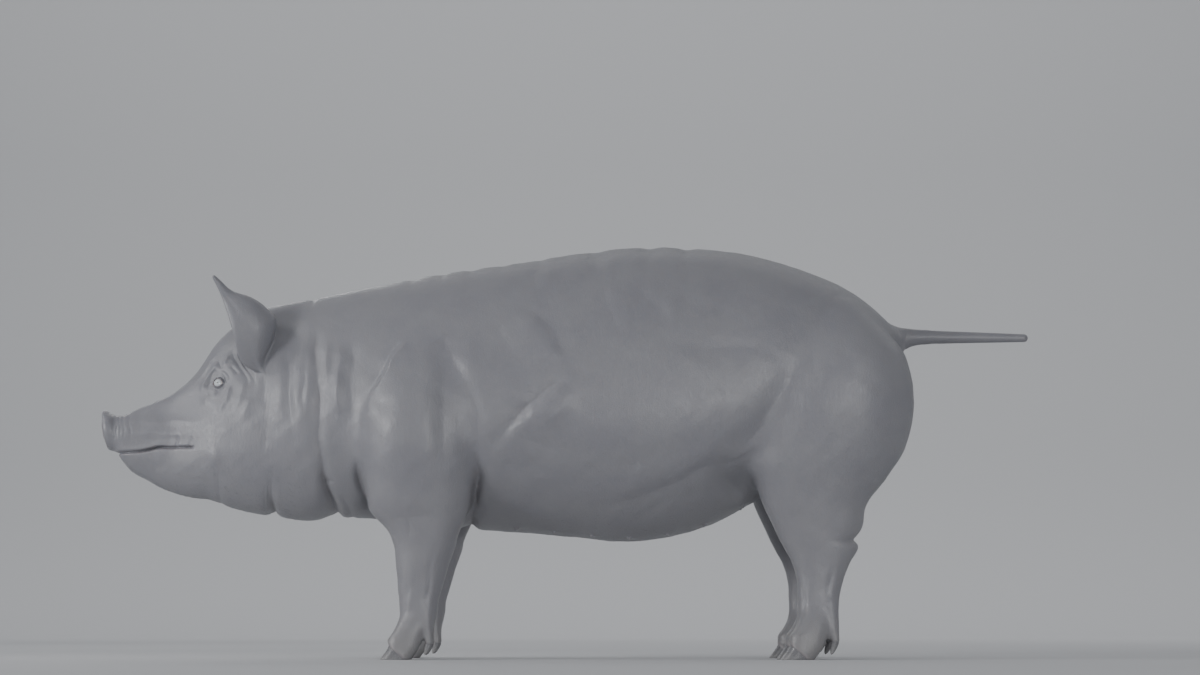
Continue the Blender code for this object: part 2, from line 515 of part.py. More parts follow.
def add_object(name, points, faces, finish=None):
    """A mesh object from points and faces, in world coordinates."""
    mesh = bpy.data.meshes.new(name)
    mesh.from_pydata(np.asarray(points).tolist(), [], np.asarray(faces).tolist())
    if finish:
        mesh.materials.append(finish)
    made = bpy.data.objects.new(name, mesh)
    bpy.context.collection.objects.link(made)
    return made


def make_cutter(made, solid=False):
    """Turn a sheet into a cutter as thick as the gap, seen only as a wire."""
    made.hide_render, made.display_type = True, "WIRE"
    if not solid:
        wall = made.modifiers.new("wall", "SOLIDIFY")
        wall.thickness, wall.offset = GAP, 0.0
    return made


def flat_cut(name, centre, normal, half_u, half_v):
    """A flat rectangle square to a normal; half_u lies level, half_v up the slope."""
    turn = Vector(normal).to_track_quat("Z", "Y").to_matrix()
    corners = [(-half_u, -half_v, 0), (half_u, -half_v, 0), (half_u, half_v, 0), (-half_u, half_v, 0)]
    points = [Vector(centre) + turn @ Vector(corner) for corner in corners]
    return make_cutter(add_object(name, points, [(0, 1, 2, 3)]))


def bent_cut(name, route, half_width):
    """A sheet that follows a route in the side view, right across the body."""
    n = len(route)
    points = [(x, y, z) for y in (-half_width, half_width) for x, z in route]
    faces = [(i, i + 1, n + i + 1, n + i) for i in range(n - 1)]
    return make_cutter(add_object(name, points, faces))


def cup_cut(name, centre, axes, radii, dome, wall, power, rings=4, sides=18):
    """A cup over a limb: a dome of superellipse section, then a straight wall to its open end.
    The axes are its two cross directions and the direction from the dome's top to the end."""
    u_axis, v_axis, along = (Vector(axis) for axis in axes)
    heights = [(math.sin(t) ** (2 / power), -dome * math.cos(t) ** (2 / power))
               for t in (math.pi / 2 * (i + 1) / rings for i in range(rings))]
    heights.append((1.0, wall))
    top = Vector(centre) - along * dome
    points = [top]
    for reach, depth in heights:
        for k in range(sides):
            angle = 2 * math.pi * k / sides
            points.append(Vector(centre) + u_axis * (radii[0] * reach * math.cos(angle))
                          + v_axis * (radii[1] * reach * math.sin(angle)) + along * depth)
    made = bpy.data.meshes.new(name)
    faces = [(0, 1 + k, 1 + (k + 1) % sides) for k in range(sides)]
    for ring in range(rings):
        low, high = 1 + ring * sides, 1 + (ring + 1) * sides
        faces += [(low + k, high + k, high + (k + 1) % sides, low + (k + 1) % sides)
                  for k in range(sides)]
    made.from_pydata([tuple(p) for p in points], [], faces)
    cup = bpy.data.objects.new(name, made)
    bpy.context.collection.objects.link(cup)
    return make_cutter(cup)


def ball(name, centre, radius, finish, level=3):
    """A ball of small triangles."""
    mesh = bpy.data.meshes.new(name)
    shape = bmesh.new()
    bmesh.ops.create_icosphere(shape, subdivisions=level, radius=radius,
                               matrix=Matrix.Translation(centre))
    shape.to_mesh(mesh)
    shape.free()
    mesh.materials.append(finish)
    mesh.shade_smooth()
    made = bpy.data.objects.new(name, mesh)
    bpy.context.collection.objects.link(made)
    return made


def settled(made):
    """The object's mesh with its modifiers worked out."""
    graph = bpy.context.evaluated_depsgraph_get()
    return bpy.data.meshes.new_from_object(made.evaluated_get(graph))


def thinned_flesh(skin):
    """The flesh at its final number of triangles."""
    points, quads = flesh_mesh()
    made = add_object("flesh", points, quads, skin)
    made.modifiers.new("thinned", "DECIMATE").ratio = TRIANGLES / (2 * len(quads))
    made.data = settled(made)
    made.modifiers.clear()
    for vertex in made.data.vertices:
        if vertex.co.z < SOLE_SNAP:
            vertex.co.z = 0.0
    return made


def body_cuts():
    """Thin cutters at the joins between the parts of the body."""
    cuts = [
        flat_cut("cut_head", (-0.583, 0, 0.52), (1, 0, -0.057), 0.30, 0.30),
        flat_cut("cut_neck", (-0.448, 0, 0.53), (1, 0, 0.154), 0.30, 0.32),
        flat_cut("cut_tail", (0.730, 0, 0.675), (1, 0, 0), 0.035, 0.035),
        flat_cut("cut_snout", (-0.9435, 0, 0.479), (math.cos(SNOUT_TILT), 0, math.sin(SNOUT_TILT)),
                 0.08, 0.0545),
        bent_cut("cut_mouth", [(-0.99, 0.424), (-0.935, 0.4265), (-0.875, 0.4335),
                               (-0.835, 0.438), (-0.765, 0.438), (-0.735, 0.424),
                               (-0.712, 0.375), (-0.705, 0.26)], 0.20),
    ]
    along, opening, across = ear_axes()
    for side in (1, -1):
        mirror = Vector((1, side, 1))
        hand = "right" if side > 0 else "left"
        cuts.append(cup_cut("cut_foreleg_" + hand, (-0.292, 0.166 * side, 0.30),
                            ((1, 0, 0), (0, 1, 0), (0, 0, -1)), (0.142, 0.104), 0.17, 0.40, 2.2))
        cuts.append(cup_cut("cut_hindleg_" + hand, (0.550, 0.156 * side, 0.42),
                            ((1, 0, 0), (0, 1, 0), (0, 0, -1)), (0.215, 0.115), 0.23, 0.52, 2.2))
        root = Vector(EAR_ROOT) * mirror + Vector(along * 0.012) * mirror
        cuts.append(cup_cut("cut_ear_" + hand, root, [Vector(a) * mirror
                            for a in (opening, across, along)], (0.064, 0.048), 0.012, 0.20, 5.0))
        for end, foot in FEET.items():
            cuts.append(hoof_cut("cut_hooves_%s_%s" % (end, hand), foot, side))
    return cuts


def hoof_cut(name, foot, side):
    """The slanting sheet at the coronet of both digits of a foot."""
    back, up, distance = HOOF_PLANE
    size, turn = foot["size"], foot["turn"] * side
    rearward = Vector((math.cos(turn), -math.sin(turn), 0))
    pivot = Vector((foot["toe"] + FETLOCK_BACK * size, foot["middle"] * side, 0))
    normal = rearward * back + Vector((0, 0, up))
    middle = pivot + (rearward * (0.030 - FETLOCK_BACK) + Vector((0, 0, 0.018))) * size
    offset = (0.030 * back + 0.018 * up - distance) * size / (back ** 2 + up ** 2)
    return flat_cut(name, middle - normal * offset, normal, 0.060 * size, 0.0285 * size)


def loose_parts(mesh):
    """The separate closed pieces of a mesh, each as points and faces."""
    shape = bmesh.new()
    shape.from_mesh(mesh)
    bmesh.ops.remove_doubles(shape, verts=shape.verts, dist=1e-6)
    bmesh.ops.triangulate(shape, faces=shape.faces)
    shape.verts.index_update()
    left, parts = set(shape.verts), []
    while left:
        edge, piece = [left.pop()], []
        while edge:
            vertex = edge.pop()
            piece.append(vertex)
            for link in vertex.link_edges:
                other = link.other_vert(vertex)
                if other in left:
                    left.remove(other)
                    edge.append(other)
        number = {vertex: i for i, vertex in enumerate(piece)}
        faces = {face for vertex in piece for face in vertex.link_faces}
        faces = sorted([number[v] for v in face.verts] for face in faces)
        parts.append(([tuple(v.co) for v in piece], faces))
    shape.free()
    return parts


def piece_places():
    """A point near the middle of each named piece of flesh, and of each hoof."""
    places = {"trunk": (0.05, 0, 0.55), "neck": (-0.52, 0, 0.52), "head": (-0.70, 0, 0.52),
              "jaw": (-0.80, 0, 0.39), "snout": (-0.957, 0, 0.476), "tail": (0.85, 0, 0.673)}
    for side, hand in ((-1, "left"), (1, "right")):
        places["ear_" + hand] = (-0.67, 0.11 * side, 0.71)
        places["foreleg_" + hand] = (-0.30, 0.155 * side, 0.28)
        places["hindleg_" + hand] = (0.54, 0.140 * side, 0.42)
        for end, foot in FEET.items():
            for digit, out in (("inner", -1), ("outer", 1)):
                places["hoof_%s_%s_%s" % (end, hand, digit)] = (
                    foot["toe"] + 0.025 * foot["size"], (foot["middle"] + 0.02 * out) * side, 0.01)
    return places


def main():
    """Build every piece."""
    for old in list(bpy.data.objects):
        bpy.data.objects.remove(old, do_unlink=True)
    skin = material("slate grey skin", (0.190, 0.178, 0.178), 0.55)
    horn = material("hoof horn", (0.060, 0.050, 0.043), 0.42)
    gloss = material("eye", (0.020, 0.012, 0.008), 0.08)

    flesh = thinned_flesh(skin)
    cutters = body_cuts()
    for side, hand in ((-1, "left"), (1, "right")):
        x, y, z = EYE_CENTRE
        ball("eye_" + hand, (x, y * side, z), EYE_RADIUS, gloss)
        socket = ball("cut_socket_" + hand, (x, y * side, z), SOCKET_RADIUS, skin, level=2)
        cutters.append(make_cutter(socket, solid=True))
    for cutter in cutters:
        cut = flesh.modifiers.new(cutter.name, "BOOLEAN")
        # the thinned digits brush each other in their cleft, where the exact solver fails
        cut.operation, cut.solver, cut.object = "DIFFERENCE", "MANIFOLD", cutter
    parts = loose_parts(settled(flesh))
    for made in [flesh] + cutters:
        bpy.data.objects.remove(made, do_unlink=True)

    places = piece_places()
    for points, faces in parts:
        middle = (np.min(points, 0) + np.max(points, 0)) / 2
        name = min(places, key=lambda key: np.linalg.norm(middle - np.array(places[key])))
        del places[name]
        made = add_object(name, points, faces, horn if name.startswith("hoof") else skin)
        made.data.shade_smooth()
    if places:
        raise RuntimeError("pieces missing: " + ", ".join(sorted(places)))


if __name__ == "__main__":
    main()
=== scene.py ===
"""A standing grey sow at life size, as a museum shows one: hide, bristles, hooves and eyes.

The flesh is a field: one number at every point of space, roughly the distance to the skin and
negative inside it.  Lofts along the trunk and down the legs, the feet, snout, ears, eyelids and
tail are such numbers, joined by soft unions, and the folds of the hide are pressed into them.
The hide is the surface where the number is zero, and the hooves are the same surface below the
coronets.  Bristles, eyes and dewclaw nails are surfaces of two parameters set on it.  Metres, +Z
up, the head towards -X, the animal's left side towards -Y.
"""

import logging
import math
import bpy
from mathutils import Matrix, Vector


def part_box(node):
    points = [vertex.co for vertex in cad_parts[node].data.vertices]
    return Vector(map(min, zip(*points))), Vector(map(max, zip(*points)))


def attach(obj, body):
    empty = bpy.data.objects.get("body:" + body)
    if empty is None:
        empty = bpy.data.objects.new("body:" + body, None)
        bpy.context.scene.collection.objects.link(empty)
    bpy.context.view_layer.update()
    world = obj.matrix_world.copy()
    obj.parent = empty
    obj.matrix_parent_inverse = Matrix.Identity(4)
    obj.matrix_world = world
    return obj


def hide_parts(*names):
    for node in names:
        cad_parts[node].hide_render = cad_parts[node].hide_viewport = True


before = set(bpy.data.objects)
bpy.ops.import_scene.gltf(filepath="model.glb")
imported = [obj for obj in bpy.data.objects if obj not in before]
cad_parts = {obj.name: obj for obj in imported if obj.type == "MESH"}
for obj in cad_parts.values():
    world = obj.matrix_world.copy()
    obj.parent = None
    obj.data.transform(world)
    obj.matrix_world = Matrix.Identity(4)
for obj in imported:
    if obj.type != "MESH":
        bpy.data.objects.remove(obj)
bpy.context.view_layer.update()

from concurrent.futures import ThreadPoolExecutor
from dataclasses import dataclass, field
from enum import Enum
from itertools import product
from typing import Callable, ClassVar, Protocol

import bmesh
import bpy
import numpy as np

LOG = logging.getLogger("sow")

Array = np.ndarray
Colour = tuple[float, float, float, float]
Socket = bpy.types.NodeSocket
Knots = tuple[tuple[float, float], ...]
Point = tuple[float, float, float]
Field = Callable[[Array, Array, Array], Array]  # the distance at x, y, z

HIDE_DEPTH = 0.0006  # how far the hide lies inside the outline, which the bristles reach
LIMB_BLEND = 0.045  # how softly a leg runs into the trunk
SLIVER = 0.0002  # faces of the hide thinner than this are dissolved
KERATIN_IOR = 1.54
CREASE_SHADE_FULL = 0.009  # depth of a groove whose bottom gets the full painted shade
UNEVEN = 0.0005  # how far the flesh between the folds rises and sinks
HIDE_TRIANGLES = {"trunk": 80000, "head": 84000, "feet": 34000}


class Hand(Enum):
    """The animal's own left and right, as the sign of Y."""

    LEFT = -1
    RIGHT = 1

    @property
    def word(self) -> str:
        """The word used in the names of pieces."""
        return self.name.lower()


# -------- small maths
def mm(*values: float | tuple) -> tuple:
    """Millimetres, alone or in pairs, as metres to the nearest micrometre."""
    return tuple(mm(*value) if isinstance(value, tuple) else round(value / 1000, 6)
                 for value in values)


def curve(knots: Knots, at: Array) -> Array:
    """A smooth line through knots, from cubic pieces whose slopes match.

    Args:
        knots: (place, value) pairs in rising order of place.
        at: Places to read; past either end the end's value holds.

    Returns:
        The values there.
    """
    place, value = np.asarray(knots, np.float32).T
    slope = np.gradient(value, place)
    at = np.clip(at, place[0], place[-1])
    i = np.clip(np.searchsorted(place, at, side="right") - 1, 0, len(place) - 2)
    span = place[i + 1] - place[i]
    t = (at - place[i]) / span
    return ((1 + 2 * t) * (1 - t) ** 2 * value[i] + t * (1 - t) ** 2 * span * slope[i]
            + t * t * (3 - 2 * t) * value[i + 1] - t * t * (1 - t) * span * slope[i + 1])


def join(a: Array, b: Array, soft: float) -> Array:
    """Union of two solids, the seam rounded over a distance by a cubic of their difference."""
    h = np.clip(soft - np.abs(a - b), 0, None) / soft
    return np.minimum(a, b) - h ** 3 * (soft / 6)


def carve(a: Array, b: Array, soft: float) -> Array:
    """Solid a without solid b, with the edge rounded over a distance."""
    return -join(-a, b, soft)


def both(a: Array, b: Array, soft: float) -> Array:
    """What two solids share, with the edge rounded over a distance."""
    return -join(-a, -b, soft)


def bell(value: Array, width: float) -> Array:
    """A bell of height 1 round zero: e to minus the square of value over width."""
    return np.exp(-(value / width) ** 2)


def ramp(value: Array, start: float, end: float) -> Array:
    """A smooth step from 0 at start to 1 at end: three t squared less two t cubed."""
    t = np.clip((value - start) / (end - start), 0, 1)
    return t * t * (3 - 2 * t)


def rounded(past: Array, length: float, least: float = 1e-3) -> Array:
    """What is left of a width so far past the place where a quarter ellipse begins."""
    return np.sqrt(np.clip(1 - (np.clip(past, 0, None) / length) ** 2, least, 1))


def oval(u: Array, v: Array, half_u: Array | float, half_v: Array | float,
         power: Array | float) -> Array:
    """Distance to a superellipse, measured along the line from its middle."""
    reach = ((np.abs(u) / half_u) ** power + (np.abs(v) / half_v) ** power + 1e-9) ** (1 / power)
    far = np.sqrt(u * u + v * v + 1e-8)
    return far - far / reach


def past_end(distance: Array, far: Array, over: Array) -> Array:
    """Distance to a loft that stops: past its end it is measured to the end's middle."""
    return np.where(over > 0, np.sqrt(far * far + over * over), distance)


def rod(x: Array, y: Array, z: Array, start: Point, end: Point, radii: tuple[float, float]) -> Array:
    """Distance to a round rod with ball ends that tapers from one radius to the other."""
    a, b = np.asarray(start, np.float32), np.asarray(end, np.float32)
    ab = b - a
    t = ((x - a[0]) * ab[0] + (y - a[1]) * ab[1] + (z - a[2]) * ab[2]) / float(ab @ ab)
    t = np.clip(t, 0, 1)
    far = np.sqrt((x - a[0] - t * ab[0]) ** 2 + (y - a[1] - t * ab[1]) ** 2
                  + (z - a[2] - t * ab[2]) ** 2)
    return far - (radii[0] + (radii[1] - radii[0]) * t)


def unit(vector: Array | Point) -> Array:
    """The vectors at length 1."""
    vector = np.asarray(vector, np.float64)
    return vector / np.linalg.norm(vector, axis=-1, keepdims=True)


# -------- folds of the hide
@dataclass(frozen=True)
class Fold:
    """A groove along a route in the side view, with a swelling on the left of the route.

    Its section is depth * exp(-(distance / width) ** 1.4); the swelling's is rise times a bell of
    the distance over reach, let in by a hyperbolic tangent across the route.  Both waver along it,
    and die away over the shares of it in fade.  A negative depth makes a ridge.  Lengths are given
    in millimetres.
    """

    route: Knots
    depth: float
    width: float
    rise: float = 0.0
    reach: float = 30.0
    fade: tuple[float, float] = (0.3, 0.3)
    steps: int = 20
    waver: float = 0.25

    def __post_init__(self) -> None:
        """Turn the lengths from millimetres to metres."""
        for name in ("route", "depth", "width", "rise", "reach"):
            object.__setattr__(self, name, mm(getattr(self, name))[0])

    def move(self, x: Array, z: Array) -> Array:
        """How far the fold moves the hide inwards at points (x, z)."""
        out = np.zeros(np.broadcast(x, z).shape, np.float32)
        near = 3 * max(self.width, self.reach if self.rise else 0)
        route = np.asarray(self.route)
        low, high = route.min(0) - near, route.max(0) + near
        x, z = np.broadcast_arrays(x, z)
        here = (x > low[0]) & (x < high[0]) & (z > low[1]) & (z < high[1])
        out[here] = self._near(x[here], z[here], route)
        return out

    def _near(self, x: Array, z: Array, route: Array) -> Array:
        """The move at flat lists of points close to the route."""
        length = np.concatenate([[0], np.cumsum(np.hypot(*np.diff(route, axis=0).T))])
        share, steps = length / length[-1], np.linspace(0, 1, self.steps + 1)
        line = np.stack([curve(np.stack([share, route[:, k]], 1), steps) for k in (0, 1)], 1)
        nearest = np.full(x.shape, 9.0, np.float32)
        side, place = np.zeros_like(nearest), np.zeros_like(nearest)
        for a, b, start in zip(line[:-1], line[1:], steps):
            ab = b - a
            t = np.clip(((x - a[0]) * ab[0] + (z - a[1]) * ab[1]) / (ab @ ab), 0, 1)
            dx, dz = x - a[0] - t * ab[0], z - a[1] - t * ab[1]
            far = np.hypot(dx, dz)
            closer = far < nearest
            nearest = np.where(closer, far, nearest)
            side = np.where(closer, np.sign(ab[0] * dz - ab[1] * dx), side)
            place = np.where(closer, start + t * steps[1], place)
        hold = 1 + self.waver * np.sin(place * length[-1] / 0.017 + 90 * route[0, 0])
        for faded, from_end in zip(self.fade, (place, 1 - place)):
            if faded:
                hold = hold * ramp(from_end, 0, faded)
        swelling = self.rise * bell(nearest, self.reach) * (1 + np.tanh(nearest * side / self.width)) / 2
        return (self.depth * np.exp(-(nearest / self.width) ** 1.4) - swelling) * hold


@dataclass(frozen=True)
class Form:
    """A soft swelling (a hollow if its rise is negative) in the side view, shaped as a bell.

    It is given in millimetres, and its turn in radians.
    """

    x: float
    z: float
    reach_x: float
    reach_z: float
    rise: float
    turn: float = 0.0

    def __post_init__(self) -> None:
        """Turn the lengths from millimetres to metres."""
        for name in ("x", "z", "reach_x", "reach_z", "rise"):
            object.__setattr__(self, name, mm(getattr(self, name))[0])

    def move(self, x: Array, z: Array) -> Array:
        """How far it moves the hide inwards at points (x, z)."""
        dx, dz = x - self.x, z - self.z
        u = dx * math.cos(self.turn) + dz * math.sin(self.turn)
        v = dz * math.cos(self.turn) - dx * math.sin(self.turn)
        return -self.rise * np.exp(-(u / self.reach_x) ** 2 - (v / self.reach_z) ** 2)


FOLDS = (
    # throat behind the jaw, then the angle of the jaw
    Fold(((-598, 400), (-602, 370), (-606, 340), (-606, 315), (-602, 270)), 10, 9.5, 3, 24, (0.85, 0)),
    Fold(((-622, 560), (-613, 500), (-617, 440), (-626, 395)), 2.2, 18),
    Fold(((-722, 312), (-716, 345), (-718, 400)), 2.6, 8, fade=(0, 0.7)),
    # neck in front of the collar
    Fold(((-574, 665), (-566, 565), (-560, 504), (-552, 430)), 5, 11, 3, 20, (0.35, 0.5)),
    Fold(((-536, 640), (-533, 570), (-536, 500)), 3, 8, 2, 14),
    # collar: a notch in the crest, a broad valley down the neck, a deep cut in the throat
    Fold(((-531, 800), (-529, 745), (-522, 700)), 5.8, 7, fade=(0, 0.7)),
    Fold(((-524, 715), (-513, 660), (-514, 610), (-503, 560), (-503, 500), (-500, 430)), 6.2, 15,
         fade=(0.3, 0.2)),
    Fold(((-504, 500), (-502, 460), (-500, 420), (-493.5, 380.5), (-488, 345), (-477, 310), (-470, 262)),
         12.5, 9.5, 4, 24, (0.55, 0)),
    # the roll behind the collar, and the valley behind that
    Fold(((-486, 655), (-490, 620), (-486, 560)), -3.4, 11),
    Fold(((-466, 650), (-462, 600), (-464, 540), (-462, 478)), -8, 16),
    Fold(((-442, 675), (-434, 610), (-436, 545), (-431, 480)), 3.2, 15),
    Fold(((-500, 372), (-486, 366), (-466, 364)), 3.4, 4),
    # breast in front of the shoulder
    Fold(((-430, 420), (-425, 390), (-419, 362), (-411, 335), (-404, 300)), 9.2, 9.2, fade=(0.45, 0.25)),
    Fold(((-462, 345), (-449, 310), (-444, 270)), 4.2, 8.5, 2, 14),
    # front edge of the shoulder blade: a crisp ridge on a soft step, and the hollow before it
    Fold(((-330, 650), (-354, 622), (-372, 590), (-394, 551), (-410, 524)), 3.4, 9, fade=(0.2, 0.4),
         waver=0.1),
    Fold(((-316, 652), (-338, 624), (-354, 600), (-366, 577), (-380, 551), (-394, 530), (-402, 508)), -3.4,
         5.2, fade=(0.15, 0.4), waver=0.1),
    Fold(((-322, 650), (-346, 623), (-361, 600), (-371, 577), (-384, 551), (-398.5, 531), (-406, 511.5),
          (-418, 460)), 0.8, 9, 7.2, 32, (0.3, 0.25), 30, 0.12),
    # rear edge of the shoulder, then the crevice behind the elbow
    Fold(((-241, 672), (-232, 621.5), (-212, 579), (-186, 538), (-175, 484), (-176, 423), (-176, 362),
          (-182, 311)), 4.6, 20, 3.6, 48, (0.2, 0.2), 30, 0.12),
    Fold(((-180, 440), (-178, 400), (-178, 350), (-186, 310), (-199, 275), (-208, 245)), 13, 11.5,
         fade=(0.6, 0)),
    Fold(((-250, 655), (-243, 640), (-240, 620)), 2, 11),
    # slanting fold behind the shoulder, with the small folds round it
    Fold(((10, 575), (-25, 553), (-53, 532), (-85, 504), (-108, 474), (-132, 441), (-150, 410)), 7.8, 12.5,
         5, 40, (0.2, 0.4), 26, 0.12),
    Fold(((-86, 520), (-74, 500), (-78, 478)), 1.8, 8.5),
    Fold(((-103, 476), (-69, 443), (-8, 419)), 2.2, 14),
    Fold(((-127, 405), (-105, 393), (-80, 381)), 1.6, 12),
    Fold(((-77, 405), (-58, 388), (-40, 366)), 1.6, 12),
    Fold(((108, 405), (130, 396), (155, 385)), 2, 9),
    Fold(((-135, 314), (-69, 283), (10, 272)), 1.8, 12),
    # upper edge of the muscle behind the shoulder, and the crease on it
    Fold(((8.5, 600), (-8, 636), (-28, 672), (-60, 700), (-115, 727)), 4.4, 18, 7, 48, (0.2, 0.4)),
    Fold(((-140, 694), (-119, 650), (-101, 621.5), (-80, 605)), 1.8, 12, 1.6, 24, (0.2, 0.3)),
    # ribs under the back
    Fold(((-66, 810), (-60, 780), (-52, 745)), 2.6, 15, 1.8, 28),
    Fold(((72, 775), (88, 730), (99, 700), (108, 677), (126, 645)), 3.2, 16.5, 3.4, 36),
    Fold(((150, 765), (170, 731), (194, 712), (212, 676)), 3, 16.5, 3, 34),
    Fold(((225, 722), (285, 713), (345, 712)), 2, 17),
    Fold(((190, 640), (300, 630), (410, 625.5), (450, 603)), 2.4, 18),
    # flank, in front of the ham; then the ham
    Fold(((450, 640), (468, 605), (458, 561), (438, 530), (417, 497), (396, 464), (364, 432), (340, 413),
          (314, 388)), 5, 23, 7, 60, (0.4, 0.05), 30, 0.1),
    Fold(((505, 640), (511, 590), (516, 535)), 1.6, 12, 1.4, 24),
    Fold(((566, 640), (580, 600), (594, 556)), 1.4, 15, 1, 24),
    # fold of the belly that runs on from the flank
    Fold(((30, 309), (73.5, 311.6), (165, 334), (220, 356), (276.5, 382.5), (328, 402)), 3.8, 16, 3.6, 40,
         (0.5, 0), 24, 0.12),
    Fold(((120, 284), (155, 295.5), (234, 330), (317, 352)), 1.4, 12),
    # top of the forearm
    Fold(((-388, 300), (-332.5, 285.3), (-272, 291), (-228, 268)), 2, 10),
    Fold(((-316, 285), (-313, 268), (-316, 246)), 2.6, 5.5),
    # creases of the upper lip, and the ridges along the muzzle
    Fold(((-806, 466), (-803, 454), (-806, 440)), 3.4, 2.6, 2.2, 7, (0.5, 0)),
    Fold(((-777, 462), (-773, 452), (-777, 440)), 2.2, 4, 1.8, 8, (0.6, 0)),
    Fold(((-892, 488), (-844, 491), (-801, 493), (-772.5, 491), (-748, 480)), -4.2, 10, fade=(0.35, 0.45),
         waver=0.05),
    Fold(((-850, 462), (-815.5, 464), (-780, 464)), -1.4, 7, waver=0.1),
    Fold(((-880, 408), (-846, 398), (-806, 394)), 1, 8),
    # ridges between the wrinkles that fan out below the eye
    Fold(((-659, 580), (-668, 545), (-681, 506)), -4.8, 10.5, fade=(0.3, 0.5), waver=0.1),
    Fold(((-692, 566), (-696.5, 549), (-704, 522)), -3.6, 6, fade=(0.3, 0.5), waver=0.1),
    Fold(((-703, 544), (-709, 524), (-715, 500)), -2.4, 7.5, fade=(0.3, 0.5), waver=0.1),
    Fold(((-724, 559), (-727.5, 549), (-732, 535)), -3.2, 5.4, fade=(0.3, 0.5), waver=0.1),
    Fold(((-740, 551), (-744, 538), (-749, 520)), -3, 6.2, fade=(0.3, 0.5), waver=0.1),
    Fold(((-650, 545), (-655, 520), (-664, 485)), -2.8, 11, fade=(0.3, 0.5), waver=0.1),
    # hollow in front of the eye, with the two ridges of the brow before it
    Fold(((-720.5, 600), (-733.5, 590), (-738.5, 572), (-742, 552)), 5, 8.5),
    Fold(((-716.5, 621), (-725.5, 610), (-740.5, 589), (-753, 566), (-762, 550)), -7.5, 6.2, waver=0.1),
    Fold(((-729, 624), (-740, 606), (-752, 588)), 3.2, 4),
    Fold(((-725.5, 636), (-742, 612), (-755, 594), (-776, 572)), -5.6, 6, waver=0.1),
    # brow and upper lid
    Fold(((-701, 630), (-703.5, 620), (-709, 608)), -3.8, 4.2),
    Fold(((-719.5, 618), (-716.5, 609), (-711.5, 599)), 3.6, 3.6),
    Fold(((-717.5, 597), (-708, 592), (-700.5, 582), (-697, 570)), 3.6, 3, 1.6, 6),
    Fold(((-696, 606), (-686, 598), (-676, 584)), 2.2, 5),
    # ridge in front of the ear, and the creases that run down from its base
    Fold(((-674, 662), (-665, 632), (-654, 606)), -4.6, 5.6, fade=(0.3, 0.4), waver=0.1),
    Fold(((-694.5, 646), (-688, 624.5), (-675, 606), (-664, 591), (-656, 576), (-653, 556)), 5.2, 4.2, 4,
         11, (0.35, 0.4)),
    Fold(((-678, 634), (-665.5, 609), (-652.5, 592), (-644, 580), (-640, 556)), 4.6, 3.6, 3.2, 10,
         (0.15, 0.4)),
    Fold(((-622, 590), (-618, 560), (-622, 520)), 1.8, 12),
    # hock and tendons
    Fold(((530, 246), (566, 238), (606, 243)), 5, 5, fade=(0.7, 0)),
    Fold(((549, 200), (541, 160), (537, 110), (540, 70)), 2.2, 6.2, 1, 14),
    Fold(((489, 160), (490, 110), (486, 72)), 2.4, 4.4, 1.2, 10),
    Fold(((-258, 240), (-268, 190), (-276, 140), (-281, 80)), 2.2, 6, 1, 12),
    Fold(((-319, 170), (-318, 125), (-323, 85)), 1.6, 4, 1, 10),
)
FORMS = (
    Form(-700, 604, 30, 16, 5),  # brow over the eye
    Form(-722, 574, 26, 22, -4.8),  # hollow of the eye
    Form(-655, 600, 22, 30, -4),  # temple
    Form(-530, 560, 40, 85, 8.5),  # side of the neck before the collar
    Form(-726, 420, 16, 20, 3.6),  # pad behind the corner of the mouth
    Form(-845, 470, 70, 12, 3),  # ridge above the lip
    Form(-850, 508, 75, 14, -3.4),  # side of the nose
    Form(-572, 655, 28, 50, -9),  # behind the ear
    Form(-585, 560, 14, 60, 3),  # rolls of the neck
    Form(-300, 500, 70, 90, 8),  # shoulder
    Form(-352, 470, 34, 60, 2.2),  # swell behind the shoulder's front edge
    Form(-277, 490, 16, 90, 2.8),  # long muscle down the upper arm
    Form(-243, 500, 12, 90, -2.2),
    Form(-130, 600, 50, 60, -2),  # behind the shoulder blade
    Form(-190, 592, 26, 30, 4),  # muscle between shoulder and ribs
    Form(-100, 540, 20, 30, 3, 0.7),
    Form(-145, 585, 32, 30, 4.4, 0.6),
    Form(-18, 506, 62, 30, 8.4, 0.8),  # swell below the slanting fold
    Form(-66, 508, 12, 16, 2.4),
    Form(67.4, 826, 16, 30, -4),  # dips between the ribs on the top line
    Form(177, 850, 17, 28, -4),
    Form(255, 850, 16, 26, -3.6),
    Form(-50, 826, 14, 30, -2.6),
    Form(-387, 786, 14, 28, -1.6),
    Form(-322, 797, 14, 28, -2),
    Form(-258, 808, 12, 28, -2.6),
    Form(-196, 817, 13, 28, -3),
    Form(-128, 826, 12, 28, -2.6),
    Form(120, 650, 50, 40, 3.4),  # swell below the ribs
    Form(560, 560, 90, 110, 6),  # ham
    Form(330, 600, 60, 110, -6),  # loin in front of the ham
    Form(352, 362, 36, 32, -25),  # hollow of the groin
)


